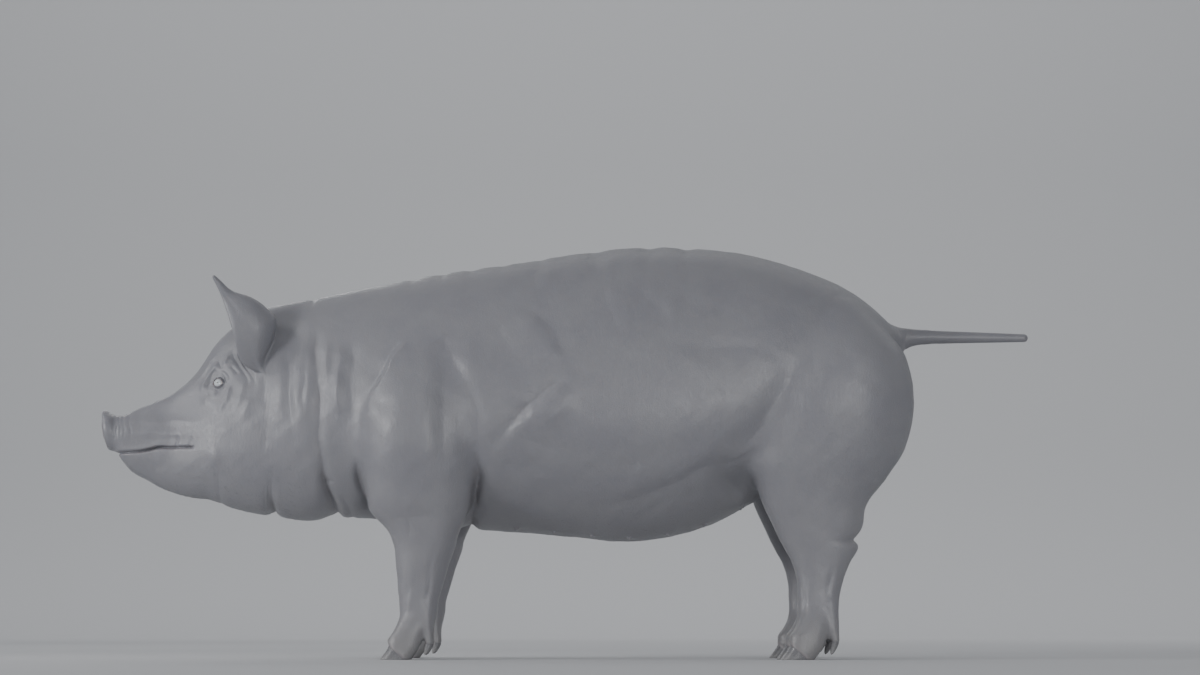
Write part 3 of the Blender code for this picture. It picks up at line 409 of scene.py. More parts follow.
@dataclass(frozen=True)
class SideView:
    """Every fold and form that shows in the side view of the body."""

    lips: Fold = Fold(((-960, 425.5), (-935, 427.5), (-905, 429), (-884, 430.5), (-862, 434.5), (-848, 438),
         (-834, 438.5), (-818, 437), (-800, 437.5), (-766, 437)), 11.2, 2.3, 2.6, 8, (0, 0.05), 36)
    folds: tuple[Fold, ...] = FOLDS
    forms: tuple[Form, ...] = FORMS

    def move(self, x: Array, z: Array) -> Array:
        """All of them together, as a distance inwards.

        The folds are read at places pushed aside by two crossing waves, finer on the head, so no
        line runs true; the flesh between them rises and sinks by sums of three waves.
        """
        fine = ramp(x, -0.6, -0.64)
        pace, push = 1 + fine, 0.0018 - 0.001 * fine
        wave_x = np.sin(z * 62 * pace + 2.0 * np.sin(x * 17)) + 0.45 * np.sin(x * 90 + z * 105 * pace)
        wave_z = np.sin(x * 55 * pace + 2.0 * np.sin(z * 19)) + 0.45 * np.sin(x * 80 - z * 95 * pace)
        near_x, near_z = x + push * wave_x, z + push * wave_z
        uneven = np.sin(x * 61 + 2.2 * np.sin(z * 23)) * np.sin(z * 67 + 1.7 * np.sin(x * 29))
        uneven = uneven + 0.6 * np.sin(x * 113 + 1.9 * np.sin(z * 71)) * np.sin(z * 97 - x * 31)
        moved = sum(part.move(near_x, near_z) for part in self.folds)
        moved = moved + sum(part.move(x, z) for part in (self.lips, *self.forms))
        return (moved - UNEVEN * uneven).astype(np.float32)

    def crease(self, x: Array, z: Array) -> Array:
        """How deep in a groove a point lies, from 0 to 1: the share of painted shade laid there."""
        depth = sum(np.clip(fold.move(x, z), 0, None) for fold in self.folds)
        return np.clip(depth / CREASE_SHADE_FULL, 0, 1)


# -------- the forms of the body
@dataclass(frozen=True)
class Trunk:
    """Head, neck and trunk: egg-shaped sections along X with the widest point off-centre."""

    top: Knots = mm((-965, 500), (-945, 506), (-925, 511), (-900, 522), (-850, 542), (-820, 557),
        (-790, 582), (-765, 612), (-740, 652), (-715, 681), (-685, 705), (-645, 729), (-590, 744),
        (-520, 756), (-400, 781), (-250, 808), (-100, 829), (30, 849), (160, 862), (280, 859), (400, 843),
        (500, 813), (600, 768), (660, 724), (710, 690))
    belly: Knots = mm((-965, 452), (-945, 436), (-930, 414), (-910, 391), (-880, 374), (-840, 352),
        (-790, 337), (-740, 329), (-690, 311), (-640, 300), (-602, 297), (-575, 291), (-548, 286.5),
        (-515, 289), (-490, 297), (-455, 293), (-400, 291), (-340, 280), (-220, 270), (-100, 262),
        (20, 252), (130, 243), (220, 253), (300, 276), (380, 315), (460, 365), (540, 420), (620, 500),
        (680, 570), (710, 610))
    half_width: Knots = mm((-965, 37.5), (-930, 42.5), (-880, 48), (-820, 58), (-770, 77), (-720, 97.5),
        (-670, 113.5), (-610, 130), (-540, 149), (-460, 168), (-380, 187), (-280, 205), (-140, 222),
        (20, 236), (180, 242), (320, 236), (440, 218), (540, 188), (620, 145), (680, 92), (710, 60))
    widest_at: Knots = mm((-965, 474), (-900, 452), (-820, 432), (-740, 440), (-660, 462), (-560, 490),
        (-420, 505), (-200, 505), (100, 500), (300, 530), (500, 610), (650, 665), (710, 660))
    fullness_up: Knots = (
        (-0.965, 2.4), (-0.85, 2.1), (-0.74, 1.9), (-0.6, 1.85), (-0.4, 1.9), (-0.1, 2.1), (0.3, 2.15),
        (0.71, 2.0))
    fullness_down: Knots = (
        (-0.965, 2.2), (-0.85, 2.2), (-0.74, 2.3), (-0.6, 2.3), (-0.4, 2.0), (0.71, 2.0))
    muzzle_end: float = -0.967
    rump_end: float = 0.715
    rounding: tuple[tuple[float, float], ...] = ((0.64, 0.075), (-0.945, 0.022))

    def section(self, x: Array) -> tuple[Array, Array, Array, Array]:
        """Half width, height above and depth below the widest point, and its level, at x."""
        level = curve(self.widest_at, x)
        (rump, rump_length), (muzzle, muzzle_length) = self.rounding
        rounding = rounded(x - rump, rump_length) * rounded(muzzle - x, muzzle_length)
        return (curve(self.half_width, x) * rounding, (curve(self.top, x) - level) * rounding,
                (level - curve(self.belly, x)) * rounding, level)

    def distance(self, x: Array, y: Array, z: Array) -> Array:
        """The trunk's own field: a superellipse at each x, other above than below."""
        half, up, down, level = self.section(x)
        v = z - level
        above = v > 0
        distance = oval(y, v, half, np.where(above, up, down),
                        np.where(above, curve(self.fullness_up, x), curve(self.fullness_down, x)))
        over = np.clip(x - self.rump_end, 0, None) + np.clip(self.muzzle_end - x, 0, None)
        return past_end(distance, np.sqrt(y * y + v * v), over)

    def underside(self, x: float, y: float) -> float:
        """Height of the belly at a place."""
        half, _, down, level = (float(value) for value in self.section(np.float64(x)))
        power = float(curve(self.fullness_down, np.float64(x)))
        return level - down * (1 - abs(y / half) ** power) ** (1 / power)


@dataclass(frozen=True)
class Leg:
    """A leg: nearly elliptical sections down Z, rounded over at the top and at the fetlock."""

    front: Knots
    rear: Knots
    middle: Knots
    half: Knots
    top: float
    rounding: float

    def distance(self, x: Array, y: Array, z: Array) -> Array:
        """The leg's own field: a superellipse of power 2.2 at each height."""
        front, rear = curve(self.front, z), curve(self.rear, z)
        high = np.clip(z - (self.top - self.rounding), 0, None) / self.rounding
        low = np.clip(0.075 - z, 0, None) / 0.05
        rounding = np.sqrt(np.clip(1 - high ** 2, 1e-3, 1) * np.clip(1 - low ** 2, 1e-3, 1))
        u, v = y - curve(self.middle, z), x - (front + rear) / 2
        distance = oval(u, v, curve(self.half, z) * rounding, (rear - front) / 2 * rounding, 2.2)
        over = np.clip(z - self.top, 0, None) + np.clip(0.026 - z, 0, None)
        return past_end(distance, np.sqrt(u * u + v * v), over)


FORELEG = Leg(
    front=mm((50, -343), (85, -335), (121, -337), (182, -342.5), (233, -349), (262, -361), (300, -396),
        (360, -412), (460, -420), (560, -395), (680, -340)),
    rear=mm((50, -272), (85, -260), (121, -254.5), (161, -243), (202, -231), (259, -207), (310, -186),
        (360, -176), (460, -180), (560, -200), (680, -245)),
    middle=mm((50, 140), (200, 142), (300, 140), (450, 135), (680, 110)),
    half=mm((50, 33), (100, 31), (150, 34), (200, 42), (260, 54), (330, 75), (420, 96), (520, 94),
        (600, 80), (680, 50)),
    top=0.7, rounding=0.1)
HINDLEG = Leg(
    front=mm((50, 476), (90, 476), (130, 476.5), (165, 474), (198, 465), (232, 446), (269, 428), (304, 412),
        (344, 395), (380, 380), (430, 383), (500, 405), (580, 435), (660, 470), (760, 530)),
    rear=mm((50, 556), (90, 557), (121, 561), (162, 571), (198, 586), (230, 602), (246, 598), (264, 608),
        (319, 622), (366, 659), (418, 694), (469, 713), (520, 720), (580, 716), (630, 702), (690, 665),
        (760, 610)),
    middle=mm((50, 140), (220, 138), (340, 130), (500, 118), (760, 90)),
    half=mm((50, 33), (100, 29), (160, 30), (220, 38), (280, 52), (340, 70), (420, 96), (520, 116),
        (620, 116), (700, 95), (760, 70)),
    top=0.745, rounding=0.13)


class Feature(Protocol):
    """A local form: the box it can change, the change itself, and where blood shows through."""

    low: Point
    high: Point

    def shape(self, flesh: Array, x: Array, y: Array, z: Array) -> Array:
        """The field with this form worked into it."""

    def flush(self, x: Array, y: Array, z: Array) -> Array:
        """How thin and warm-coloured the hide is, from 0 to 1."""


@dataclass(frozen=True)
class Snout:
    """The round plate of the nose, flared and tilted, with nostrils and rings behind it."""

    low: Point = (-1.0, 0.0, 0.4)
    high: Point = (-0.86, 0.08, 0.56)
    centre: tuple[float, float] = (-0.956, 0.477)
    tilt: float = math.radians(9)
    half_y: float = 0.0435
    half_z: float = 0.0435
    plate: float = 0.0088
    crown: float = 0.005
    flare: Knots = mm((-20, 42.4), (-13, 44.2), (-8.5, 45.2), (-5, 44.9), (-0.5, 43), (4.5, 38.8),
        (10, 33.8), (16, 29.8), (28, 25.5))
    nostril_y: float = 0.019
    rings: tuple[float, ...] = (0.014, 0.02, 0.027, 0.035, 0.048)

    def axes(self, x: Array, y: Array, z: Array) -> tuple[Array, Array, Array]:
        """Place behind the plate's middle, up the plate, and share of the plate's radius."""
        dx, dz = x - self.centre[0], z - self.centre[1]
        along = dx * math.cos(self.tilt) + dz * math.sin(self.tilt)
        rise = -dx * math.sin(self.tilt) + dz * math.cos(self.tilt)
        return along, rise, np.sqrt((y / self.half_y) ** 2 + (rise / self.half_z) ** 2)

    def shape(self, flesh: Array, x: Array, y: Array, z: Array) -> Array:
        """Join the flared plate, press the rings into the muzzle and sink the nostrils."""
        along, rise, reach = self.axes(x, y, z)
        crown = self.crown * np.clip(1 - reach ** 2, 0, 1) - 0.001 * bell(reach - 0.8, 0.1)
        front = -(along + self.plate + crown)
        rim = 0.045 * reach - curve(self.flare, along - 0.0085 * ramp(rise, 0.036, 0.02))
        plate = np.maximum(both(front, rim, 0.007), along - 0.03)
        flesh = join(flesh, plate, 0.02 - 0.006 * ramp(rise, -0.04, -0.015)
                     - 0.006 * ramp(rise, 0.015, 0.035))
        sides = ramp(rise, -0.034, -0.01)
        for number, place in enumerate(self.rings):
            wave = 0.0012 * np.sin(rise * 190 + number)
            flesh = flesh + 0.0009 * bell(along - place - wave, 0.0022) * sides
        cleft = bell(y, 0.0016) * ramp(rise, 0.012, -0.02) * ramp(along, 0.0, -0.01)
        flesh = flesh + 0.0012 * cleft
        far = np.sqrt(((y - self.nostril_y - 0.1 * rise) / 0.86) ** 2 + (rise + 0.001) ** 2)
        flesh = flesh - 0.0009 * bell(far - 0.0125, 0.003) * ramp(along, 0.0, -0.008)
        nostril = oval(far, along + 0.01, 0.01, 0.02, 2.0)
        return carve(flesh, nostril, 0.0035)

    def flush(self, x: Array, y: Array, z: Array) -> Array:
        """The plate itself, and the inside of the nostrils."""
        along, _, reach = self.axes(x, y, z)
        return 0.5 * ramp(along, -0.004, -0.01) * ramp(reach, 1.05, 0.85)


@dataclass(frozen=True)
class EyeLids:
    """Lids that wrap the eyeball, open in an almond, with creases round them.

    Lid space is (rearwards along the slit, up across it, outwards).  The almond lies between two
    arches, full in front and drawn to a point behind, and its field is the height past the nearer.
    A crease is a depth, a place past the almond and a width.
    """

    centre: Point
    radius: float
    low: Point = (-0.765, 0.03, 0.525)
    high: Point = (-0.665, 0.125, 0.62)
    out: Point = (-0.25, 0.95, 0.12)
    slit: float = math.radians(-4)
    half_width: float = 0.0107
    upper: float = 0.0076
    lower: float = 0.0068
    ahead: float = 0.0006  # how far the slit's middle lies in front of the ball's
    cover: float = 0.0017  # thickness of the lids
    rim: float = 0.0012
    above: tuple[Point, ...] = mm((2.6, 6, 1.6), (-1.4, 8.8, 2.2), (1.6, 12.2, 2.4))
    below: tuple[Point, ...] = mm((1.3, 5, 1.6), (0.9, 9.6, 2.2))

    def axes(self) -> tuple[Array, Array, Array]:
        """Unit vectors of lid space."""
        out = unit(self.out)
        rear = unit(np.array([out[1], -out[0], 0.0]))
        up = np.cross(rear, out)
        turned = rear * math.cos(self.slit) + up * math.sin(self.slit)
        return turned, np.cross(turned, out), out

    def local(self, x: Array, y: Array, z: Array) -> tuple[Array, Array, Array, Array]:
        """Points in lid space, and the almond's field there."""
        dx, dy, dz = x - self.centre[0], y - self.centre[1], z - self.centre[2]
        u, v, n = (dx * a[0] + dy * a[1] + dz * a[2] for a in self.axes())
        slit = (u + self.ahead) / self.half_width
        full = np.where(slit < 0, 3.4, 1.9)
        arch = 1 - np.abs(slit) ** full
        almond = np.maximum(v - self.upper * arch, -v - self.lower * arch)
        return u, v, n, np.maximum(almond / 1.3, (np.abs(slit) - 1) * self.half_width)

    def shape(self, flesh: Array, x: Array, y: Array, z: Array) -> Array:
        """Swell the lids over the ball, press their creases, then open the almond."""
        u, v, n, almond = self.local(x, y, z)
        far = np.sqrt(u * u + v * v + n * n)
        front = ramp(n, 0.0, 0.006)
        flesh = join(flesh, far - self.radius - self.cover, 0.007)
        near = bell(far - self.radius, 0.016) * front
        flesh = flesh - self.rim * bell(almond - 0.001, 0.0018) * near
        for creases, side in ((self.above, ramp(v, -0.002, 0.004)), (self.below, ramp(v, 0.002, -0.004))):
            for depth, place, width in creases:
                flesh = flesh + depth * bell(almond - place, width) * near * side
        opening = np.maximum(np.maximum(almond, -n), self.radius - 0.0018 - far)
        return carve(flesh, opening, 0.0012)

    def flush(self, x: Array, y: Array, z: Array) -> Array:
        """The rims of the lids."""
        _, _, n, almond = self.local(x, y, z)
        return 0.8 * bell(np.clip(almond, 0, None), 0.0022) * ramp(n, 0.0, 0.004)


@dataclass(frozen=True)
class Ear:
    """A leaf rolled into an open cup: an elliptical arc of constant wrap along the ear."""

    low: Point = (-0.8, 0.0, 0.55)
    high: Point = (-0.54, 0.25, 0.86)
    root: Point = (-0.622, 0.092, 0.65)
    lean: float = 0.2
    wrap: float = math.radians(118)
    front: Knots = mm((-45, 36), (-20, 51), (0, 55), (20, 50), (50, 37.5), (80, 26), (105, 18), (130, 11.5),
        (155, 6.5), (175, 3.5))
    rear: Knots = mm((-45, 34), (-20, 12), (-5, -12), (12, -34), (30, -46.5), (53, -45), (75, -40.5),
        (90, -34.5), (103, -27.5), (115, -18.5), (125, -11), (137, -6), (155, -3.2), (175, 0.5))
    depth: Knots = mm((-45, 22), (0, 33), (30, 37), (70, 34), (100, 24), (125, 13), (150, 8), (175, 5))
    thick: Knots = mm((-45, 9.5), (20, 8), (100, 6.5), (175, 5.5))

    def axes(self) -> tuple[Array, Array, Array]:
        """Unit vectors along the ear, towards its opening, and across it."""
        upright = math.sqrt(1 - self.lean ** 2)
        along = np.array([-0.593 * upright, self.lean, 0.806 * upright])
        opening = np.array([-0.806, 0.0, -0.593])
        across = unit(np.cross(along, opening))
        return along, opening, across if across[1] > 0 else -across

    def local(self, x: Array, y: Array, z: Array) -> tuple[Array, Array, Array]:
        """Points as places along the ear, towards the opening and across."""
        dx, dy, dz = x - self.root[0], y - self.root[1], z - self.root[2]
        s, o, w = (dx * a[0] + dy * a[1] + dz * a[2] for a in self.axes())
        return s, o, w

    def sheet(self, x: Array, y: Array, z: Array) -> tuple[Array, Array, Array, Array]:
        """Distance to the sheet's middle, angle round the cup, place along, and inwardness."""
        s, o, w = self.local(x, y, z)
        at = np.clip(s, -0.045, 0.175)
        front, rear, depth = curve(self.front, at), curve(self.rear, at), curve(self.depth, at)
        half = np.maximum((front - rear) / (1 - math.cos(self.wrap)), 0.0012)
        u = o - rear - half
        reach = np.sqrt((u / half) ** 2 + (w / depth) ** 2 + 1e-9)
        far = np.sqrt(u * u + w * w)
        ring = np.abs(far - far / reach)
        angle = np.abs(np.arctan2(w / depth, -u / half))
        rim = np.sqrt((u + half * math.cos(self.wrap)) ** 2
                      + (np.abs(w) - depth * math.sin(self.wrap)) ** 2)
        sheet = np.where(angle < self.wrap, ring, rim)
        return np.sqrt(sheet ** 2 + (s - at) ** 2), angle, s, ramp(reach, 1.02, 0.9)

    def shape(self, flesh: Array, x: Array, y: Array, z: Array) -> Array:
        """Join the leaf, ribbed inside by faint ridges that run along it."""
        sheet, angle, s, inside = self.sheet(x, y, z)
        ribs = 0.0008 * np.cos(angle * 9) * inside * ramp(s, 0.13, 0.05)
        bead = 1 + 0.32 * bell(angle - self.wrap, 0.22) * ramp(s, 0.165, 0.1)
        thick = curve(self.thick, np.clip(s, -0.045, 0.175)) / 2 * bead
        groove = 0.0013 * bell(angle - self.wrap + 0.46, 0.16) * (1 - inside) * ramp(s, 0.16, 0.1)
        return join(flesh, sheet - thick + ribs + groove, 0.014)

    def flush(self, x: Array, y: Array, z: Array) -> Array:
        """The inside of the cup, where the hide is thin."""
        sheet, angle, s, inside = self.sheet(x, y, z)
        return 0.55 * inside * ramp(angle, self.wrap, self.wrap - 0.3) * ramp(s, 0.0, 0.02) * (
            sheet < 0.012)


@dataclass(frozen=True)
class Tail:
    """A plain tail held straight back, thick and wrinkled at its root, with the parts under it."""

    low: Point = (0.62, 0.0, 0.52)
    high: Point = (1.0, 0.1, 0.75)

    def shape(self, flesh: Array, x: Array, y: Array, z: Array) -> Array:
        """Two tapering rods, a ringed opening below the root and a small teardrop below that."""
        root = rod(x, y, z, (0.69, 0, 0.672), (0.76, 0, 0.6735), (0.0235, 0.015))
        tail = join(root, rod(x, y, z, (0.76, 0, 0.6735), (0.967, 0, 0.6715), (0.015, 0.009)), 0.006)
        tail = tail + 0.0005 * np.cos(x * 780 + 2 * np.sin(z * 60)) * ramp(x, 0.84, 0.74)
        flesh = join(flesh, tail, 0.03)
        ring = np.sqrt((y / 1.1) ** 2 + (z - 0.636) ** 2)
        flesh = flesh - 0.003 * bell(ring - 0.01, 0.006) * ramp(x, 0.66, 0.7)
        flesh = flesh + 0.006 * bell(ring, 0.0045) * ramp(x, 0.66, 0.7)
        drop = rod(x, y, z, (0.7, 0, 0.598), (0.716, 0, 0.566), (0.019, 0.0085))
        flesh = join(flesh, drop, 0.016)
        return flesh + 0.0045 * bell(y, 0.0022) * ramp(x, 0.695, 0.71) * bell(z - 0.582, 0.018)

    def flush(self, x: Array, y: Array, z: Array) -> Array:
        """The bare parts under the root."""
        return 0.6 * ramp(x, 0.69, 0.71) * bell(y, 0.022) * ramp(z, 0.655, 0.64) * ramp(z, 0.54, 0.57)


@dataclass(frozen=True)
class Teats:
    """Rows of teats along the belly, one row each side."""

    trunk: Trunk
    pairs: int = 7
    first: float = -0.1
    last: float = 0.37
    beside: float = 0.05
    length: float = 0.0032
    radius: float = 0.0048
    low: Point = (-0.18, 0.03, 0.22)
    high: Point = (0.4, 0.09, 0.35)

    def places(self) -> list[Point]:
        """Where each teat leaves the belly."""
        xs = np.linspace(self.first, self.last, self.pairs)
        return [(float(x), self.beside, self.trunk.underside(float(x), self.beside)) for x in xs]

    def shape(self, flesh: Array, x: Array, y: Array, z: Array) -> Array:
        """Join a short blunt rod on a low mound at each place."""
        for cx, cy, cz in self.places():
            flesh = flesh - 0.002 * np.exp(-((x - cx) ** 2 + (y - cy) ** 2) / 0.016 ** 2)
            teat = rod(x, y, z, (cx, cy, cz), (cx, cy + 0.001, cz - self.length),
                       (self.radius, self.radius * 0.82))
            flesh = join(flesh, teat, 0.005)
        return flesh

    def flush(self, x: Array, y: Array, z: Array) -> Array:
        """The teats and a ring round each."""
        near = [bell(np.sqrt((x - cx) ** 2 + (y - cy) ** 2), 0.01) for cx, cy, _ in self.places()]
        return 0.25 * np.max(near, 0) * ramp(z, 0.34, 0.3)


@dataclass(frozen=True)
class Foot:
    """Two digits, the cleft between them, and two dewclaws behind.

    Foot space is (back from the toe, outwards from the middle, up), for a fore foot's size.  The
    coronet is the slanting plane where hide ends and horn begins.
    """

    toe: float
    middle: float
    size: float
    turn: float
    pivot: float = 0.075
    coronet_back: float = 0.68
    coronet_up: float = 0.733
    coronet_far: float = 0.0335
    front: Knots = mm((0, 0), (29, 18), (42, 17.5), (56, 26), (85, 37.5), (110, 40))
    rear: Knots = mm((0, 62), (10, 70), (20, 76.5), (35, 82.5), (50, 86), (85, 98), (110, 105))
    centre: Knots = mm((0, 21.5), (30, 20), (60, 15.5), (110, 8))
    half: Knots = mm((0, 17.5), (20, 19), (45, 20.5), (70, 20.5), (110, 19))
    dewclaw: tuple[Point, Point] = ((0.093, 0.016, 0.098), (0.101, 0.0225, 0.036))
    nail: tuple[Point, Point] = ((0.1005, 0.023, 0.032), (0.0955, 0.025, 0.0125))

    @property
    def low(self) -> Point:
        """Lowest corner of the box it can change."""
        return (self.toe - 0.03, 0.05, -0.1)

    @property
    def high(self) -> Point:
        """Highest corner of the box it can change."""
        return (self.toe + 0.17, 0.24, 0.16)

    def local(self, x: Array, y: Array, z: Array) -> tuple[Array, Array, Array]:
        """Points in foot space."""
        dx = (x - self.toe) / self.size - self.pivot
        dy = (y - self.middle) / self.size
        back = dx * math.cos(self.turn) - dy * math.sin(self.turn) + self.pivot
        return back, dx * math.sin(self.turn) + dy * math.cos(self.turn), z / self.size

    def world(self, place: Point) -> Point:
        """A place in foot space back in the world, on the right side of the body."""
        back, out = place[0] - self.pivot, place[1]
        dx = back * math.cos(self.turn) + out * math.sin(self.turn)
        dy = out * math.cos(self.turn) - back * math.sin(self.turn)
        return (self.toe + (dx + self.pivot) * self.size, self.middle + dy * self.size,
                place[2] * self.size)

    def above_coronet(self, x: Array, y: Array, z: Array) -> Array:
        """Distance above the coronet's plane, negative over the horn."""
        back, _, up = self.local(x, y, z)
        return (back * self.coronet_back + up * self.coronet_up - self.coronet_far) * self.size

    def shape(self, flesh: Array, x: Array, y: Array, z: Array) -> Array:
        """Join the digits and dewclaws, then carve the cleft and the gap behind the heel."""
        back, out, up = self.local(x, y, z)
        side = np.abs(out)
        front, rear = curve(self.front, up), curve(self.rear, up)
        rounding = rounded(up - 0.04, 0.058, 1e-2)
        digit = oval(side - curve(self.centre, up), back - (front + rear) / 2,
                     curve(self.half, up) * rounding, (rear - front) / 2 * rounding, 2.5)
        digit = np.maximum(digit, up - 0.097)
        dewclaw = rod(back, side, up, *self.dewclaw, (0.012, 0.0078))
        flesh = join(flesh, join(digit, dewclaw, 0.012) * self.size, 0.026)
        width = 0.002 + 0.09 * np.clip(0.034 - back, 0, 0.034)
        ceiling = 0.056 - 0.4 * np.clip(back - 0.03, 0, None)
        cleft = np.maximum(side - width, up - ceiling) * self.size
        behind = np.maximum(np.maximum(side - 0.0085, 0.088 - back), up - 0.055) * self.size
        heel_gap = rod(back, side, up, (0.0885, 0.0, 0.036), (0.085, 0.045, 0.03), (0.003, 0.003))
        flesh = carve(flesh, cleft, 0.006)
        flesh = carve(flesh, behind, 0.006)
        return carve(flesh, heel_gap * self.size, 0.004)

    def hide(self, flesh: Array, x: Array, y: Array, z: Array) -> Array:
        """The hide alone: it swells above the coronet and hides inside the horn below it."""
        above = self.above_coronet(x, y, z)
        flesh = flesh - 0.0016 * bell(above - 0.0045, 0.0045)
        return flesh + 0.005 * ramp(above, 0.001, -0.0015)

    def flush(self, x: Array, y: Array, z: Array) -> Array:
        """The soft band at the coronet."""
        return 0.45 * bell(self.above_coronet(x, y, z) - 0.003, 0.005) * ramp(z, 0.09, 0.06)


FEET = {"fore": Foot(toe=-0.374, middle=0.14, size=1.0, turn=0.0),
        "hind": Foot(toe=0.435, middle=0.14, size=1.12, turn=math.radians(8), coronet_far=0.0305)}
SNOUT, EAR, TAIL, SIDE_VIEW, TRUNK = Snout(), Ear(), Tail(), SideView(), Trunk()


# -------- grid and mesh
@dataclass(frozen=True)
class Lattice:
    """Grid lines along each axis, in stretches with a step of their own, worked in blocks."""

    xs: Array
    ys: Array
    zs: Array
    BLOCK: ClassVar[int] = 8
    COARSE: ClassVar[int] = 4
    BATCH: ClassVar[int] = 500

    @classmethod
    def lines(cls, start: float, *stretches: float) -> Array:
        """Grid lines from a start, then a step and an end for each stretch, in whole blocks."""
        runs = []
        for step, end in zip(stretches[::2], stretches[1::2]):
            count = cls.BLOCK * max(1, round((end - start) / step / cls.BLOCK))
            runs.append(np.linspace(start, end, count + 1)[:-1])
            start = end
        return np.concatenate([*runs, [start]]).astype(np.float32)

    def active(self, distance: Field) -> Array:
        """The first lines of the blocks that the surface may cross.

        Every fourth grid point is tried, and a block stays where any of them is nearer to the
        surface than the space between them, or where the sign changes.
        """
        step = self.COARSE
        lines = [line[::step] for line in (self.xs, self.ys, self.zs)]
        x, y, z = (line.reshape([-1 if k == axis else 1 for k in range(3)])
                   for axis, line in enumerate(lines))
        rows = max(1, len(lines[0]) // 24)
        parts = [slice(a, a + rows) for a in range(0, len(lines[0]), rows)]
        with ThreadPoolExecutor() as pool:
            values = np.concatenate(list(pool.map(lambda part: distance(x[part], y, z), parts)))
        span = np.sqrt(sum((np.gradient(line) ** 2).reshape([-1 if k == axis else 1 for k in range(3)])
                           for axis, line in enumerate(lines)))
        near = np.abs(values) < 1.5 * span
        inside = values < 0
        per = self.BLOCK // step
        counts = [(len(line) - 1) // per for line in lines]
        keep = np.zeros(counts, bool)
        has_in, has_out = np.zeros(counts, bool), np.zeros(counts, bool)
        for shifts in product(range(per + 1), repeat=3):
            window = tuple(slice(shift, shift + per * (count - 1) + 1, per)
                           for shift, count in zip(shifts, counts))
            keep |= near[window]
            has_in |= inside[window]
            has_out |= ~inside[window]
        return np.argwhere(keep | (has_in & has_out)) * self.BLOCK

    def surface(self, distance: Field, mirrored: bool) -> tuple[Array, Array]:
        """A closed mesh of quads where the field is zero, a surface net.

        Each grid cell that the surface crosses holds one point, at the mean of the places where
        the surface crosses its edges, and each crossed grid edge one quad through the four cells
        around it.

        Args:
            distance: The distance at given x, y, z.
            mirrored: Whether the half at y > 0 is repeated on the other side of y = 0.

        Returns:
            Points, and quads as four point numbers each.
        """
        first = self.active(distance)
        batches = [first[a:a + self.BATCH] for a in range(0, len(first), self.BATCH)]
        with ThreadPoolExecutor() as pool:
            found = list(pool.map(lambda batch: self._net(distance, batch), batches))
        cells, points, quads = (np.concatenate(part) for part in zip(*found))
        order = np.argsort(cells)
        cells, points = cells[order], points[order]
        across = quads[..., 1] < 0
        quads[..., 1] = np.maximum(quads[..., 1], 0)
        wanted = self._cell(quads)
        number = np.searchsorted(cells, wanted)
        number = np.minimum(number, len(cells) - 1)
        whole = (cells[number] == wanted).all(1)
        if not whole.all():
            LOG.warning("%d quads of the net have no cell", int((~whole).sum()))
        number, across = number[whole], across[whole]
        if not mirrored:
            return points, number
        middle = across.any(1)
        number = number + across * len(cells)
        other = number[~middle][:, ::-1] + len(cells)
        return np.concatenate([points, points * (1, -1, 1)]), np.concatenate([number, other])

    def _cell(self, index: Array) -> Array:
        """One number for each cell."""
        i, j, k = np.moveaxis(index.astype(np.int64), -1, 0)
        return (i * len(self.ys) + j) * len(self.zs) + k

    def _net(self, distance: Field, first: Array) -> tuple[Array, Array, Array]:
        """Cells, their points, and quads as cell indices, of a batch of blocks."""
        steps = np.arange(self.BLOCK + 1)
        lines = [line[first[:, k, None] + steps] for k, line in enumerate((self.xs, self.ys, self.zs))]
        x, y, z = lines[0][:, :, None, None], lines[1][:, None, :, None], lines[2][:, None, None, :]
        values = distance(x, y, z)
        inside = values < 0
        n = self.BLOCK
        corners = list(product((0, 1), repeat=3))
        count = sum(inside[:, a:a + n, b:b + n, c:c + n].astype(np.int8) for a, b, c in corners)
        block, i, j, k = np.nonzero((count > 0) & (count < 8))
        total, crossings = np.zeros((len(block), 3), np.float32), np.zeros(len(block), np.float32)
        for a, b, c in corners:
            for axis, place in enumerate((a, b, c)):
                if place:
                    continue
                e = [a, b, c]
                e[axis] = 1
                f0, f1 = values[block, i + a, j + b, k + c], values[block, i + e[0], j + e[1], k + e[2]]
                crossed = (f0 < 0) != (f1 < 0)
                t = np.where(crossed, f0 / np.where(crossed, f0 - f1, 1), 0)
                spot = [lines[0][block, i + a], lines[1][block, j + b], lines[2][block, k + c]]
                ahead = lines[axis][block, (i, j, k)[axis] + 1]
                spot[axis] = spot[axis] + t * (ahead - spot[axis])
                total += np.stack(spot, 1) * crossed[:, None]
                crossings += crossed
        cells = self._cell(first[block] + np.stack([i, j, k], 1))
        quads = []
        for axis in range(3):
            window = [slice(0, n)] * 3
            window[axis] = slice(1, n + 1)
            f0, f1 = inside[:, :n, :n, :n], inside[(slice(None), *window)]
            where = np.argwhere(f0 != f1)
            flip = ~f0[tuple(where.T)] ^ (axis == 1)
            base = first[where[:, 0]] + where[:, 1:]
            others = [k for k in range(3) if k != axis]
            around = np.repeat(base[:, None, :], 4, 1)
            for corner, (a, b) in enumerate(((0, 0), (1, 0), (1, 1), (0, 1))):
                around[:, corner, others[0]] -= a
                around[:, corner, others[1]] -= b
            around[flip] = around[flip][:, ::-1]
            quads.append(around)
        return cells, total / crossings[:, None], np.concatenate(quads)


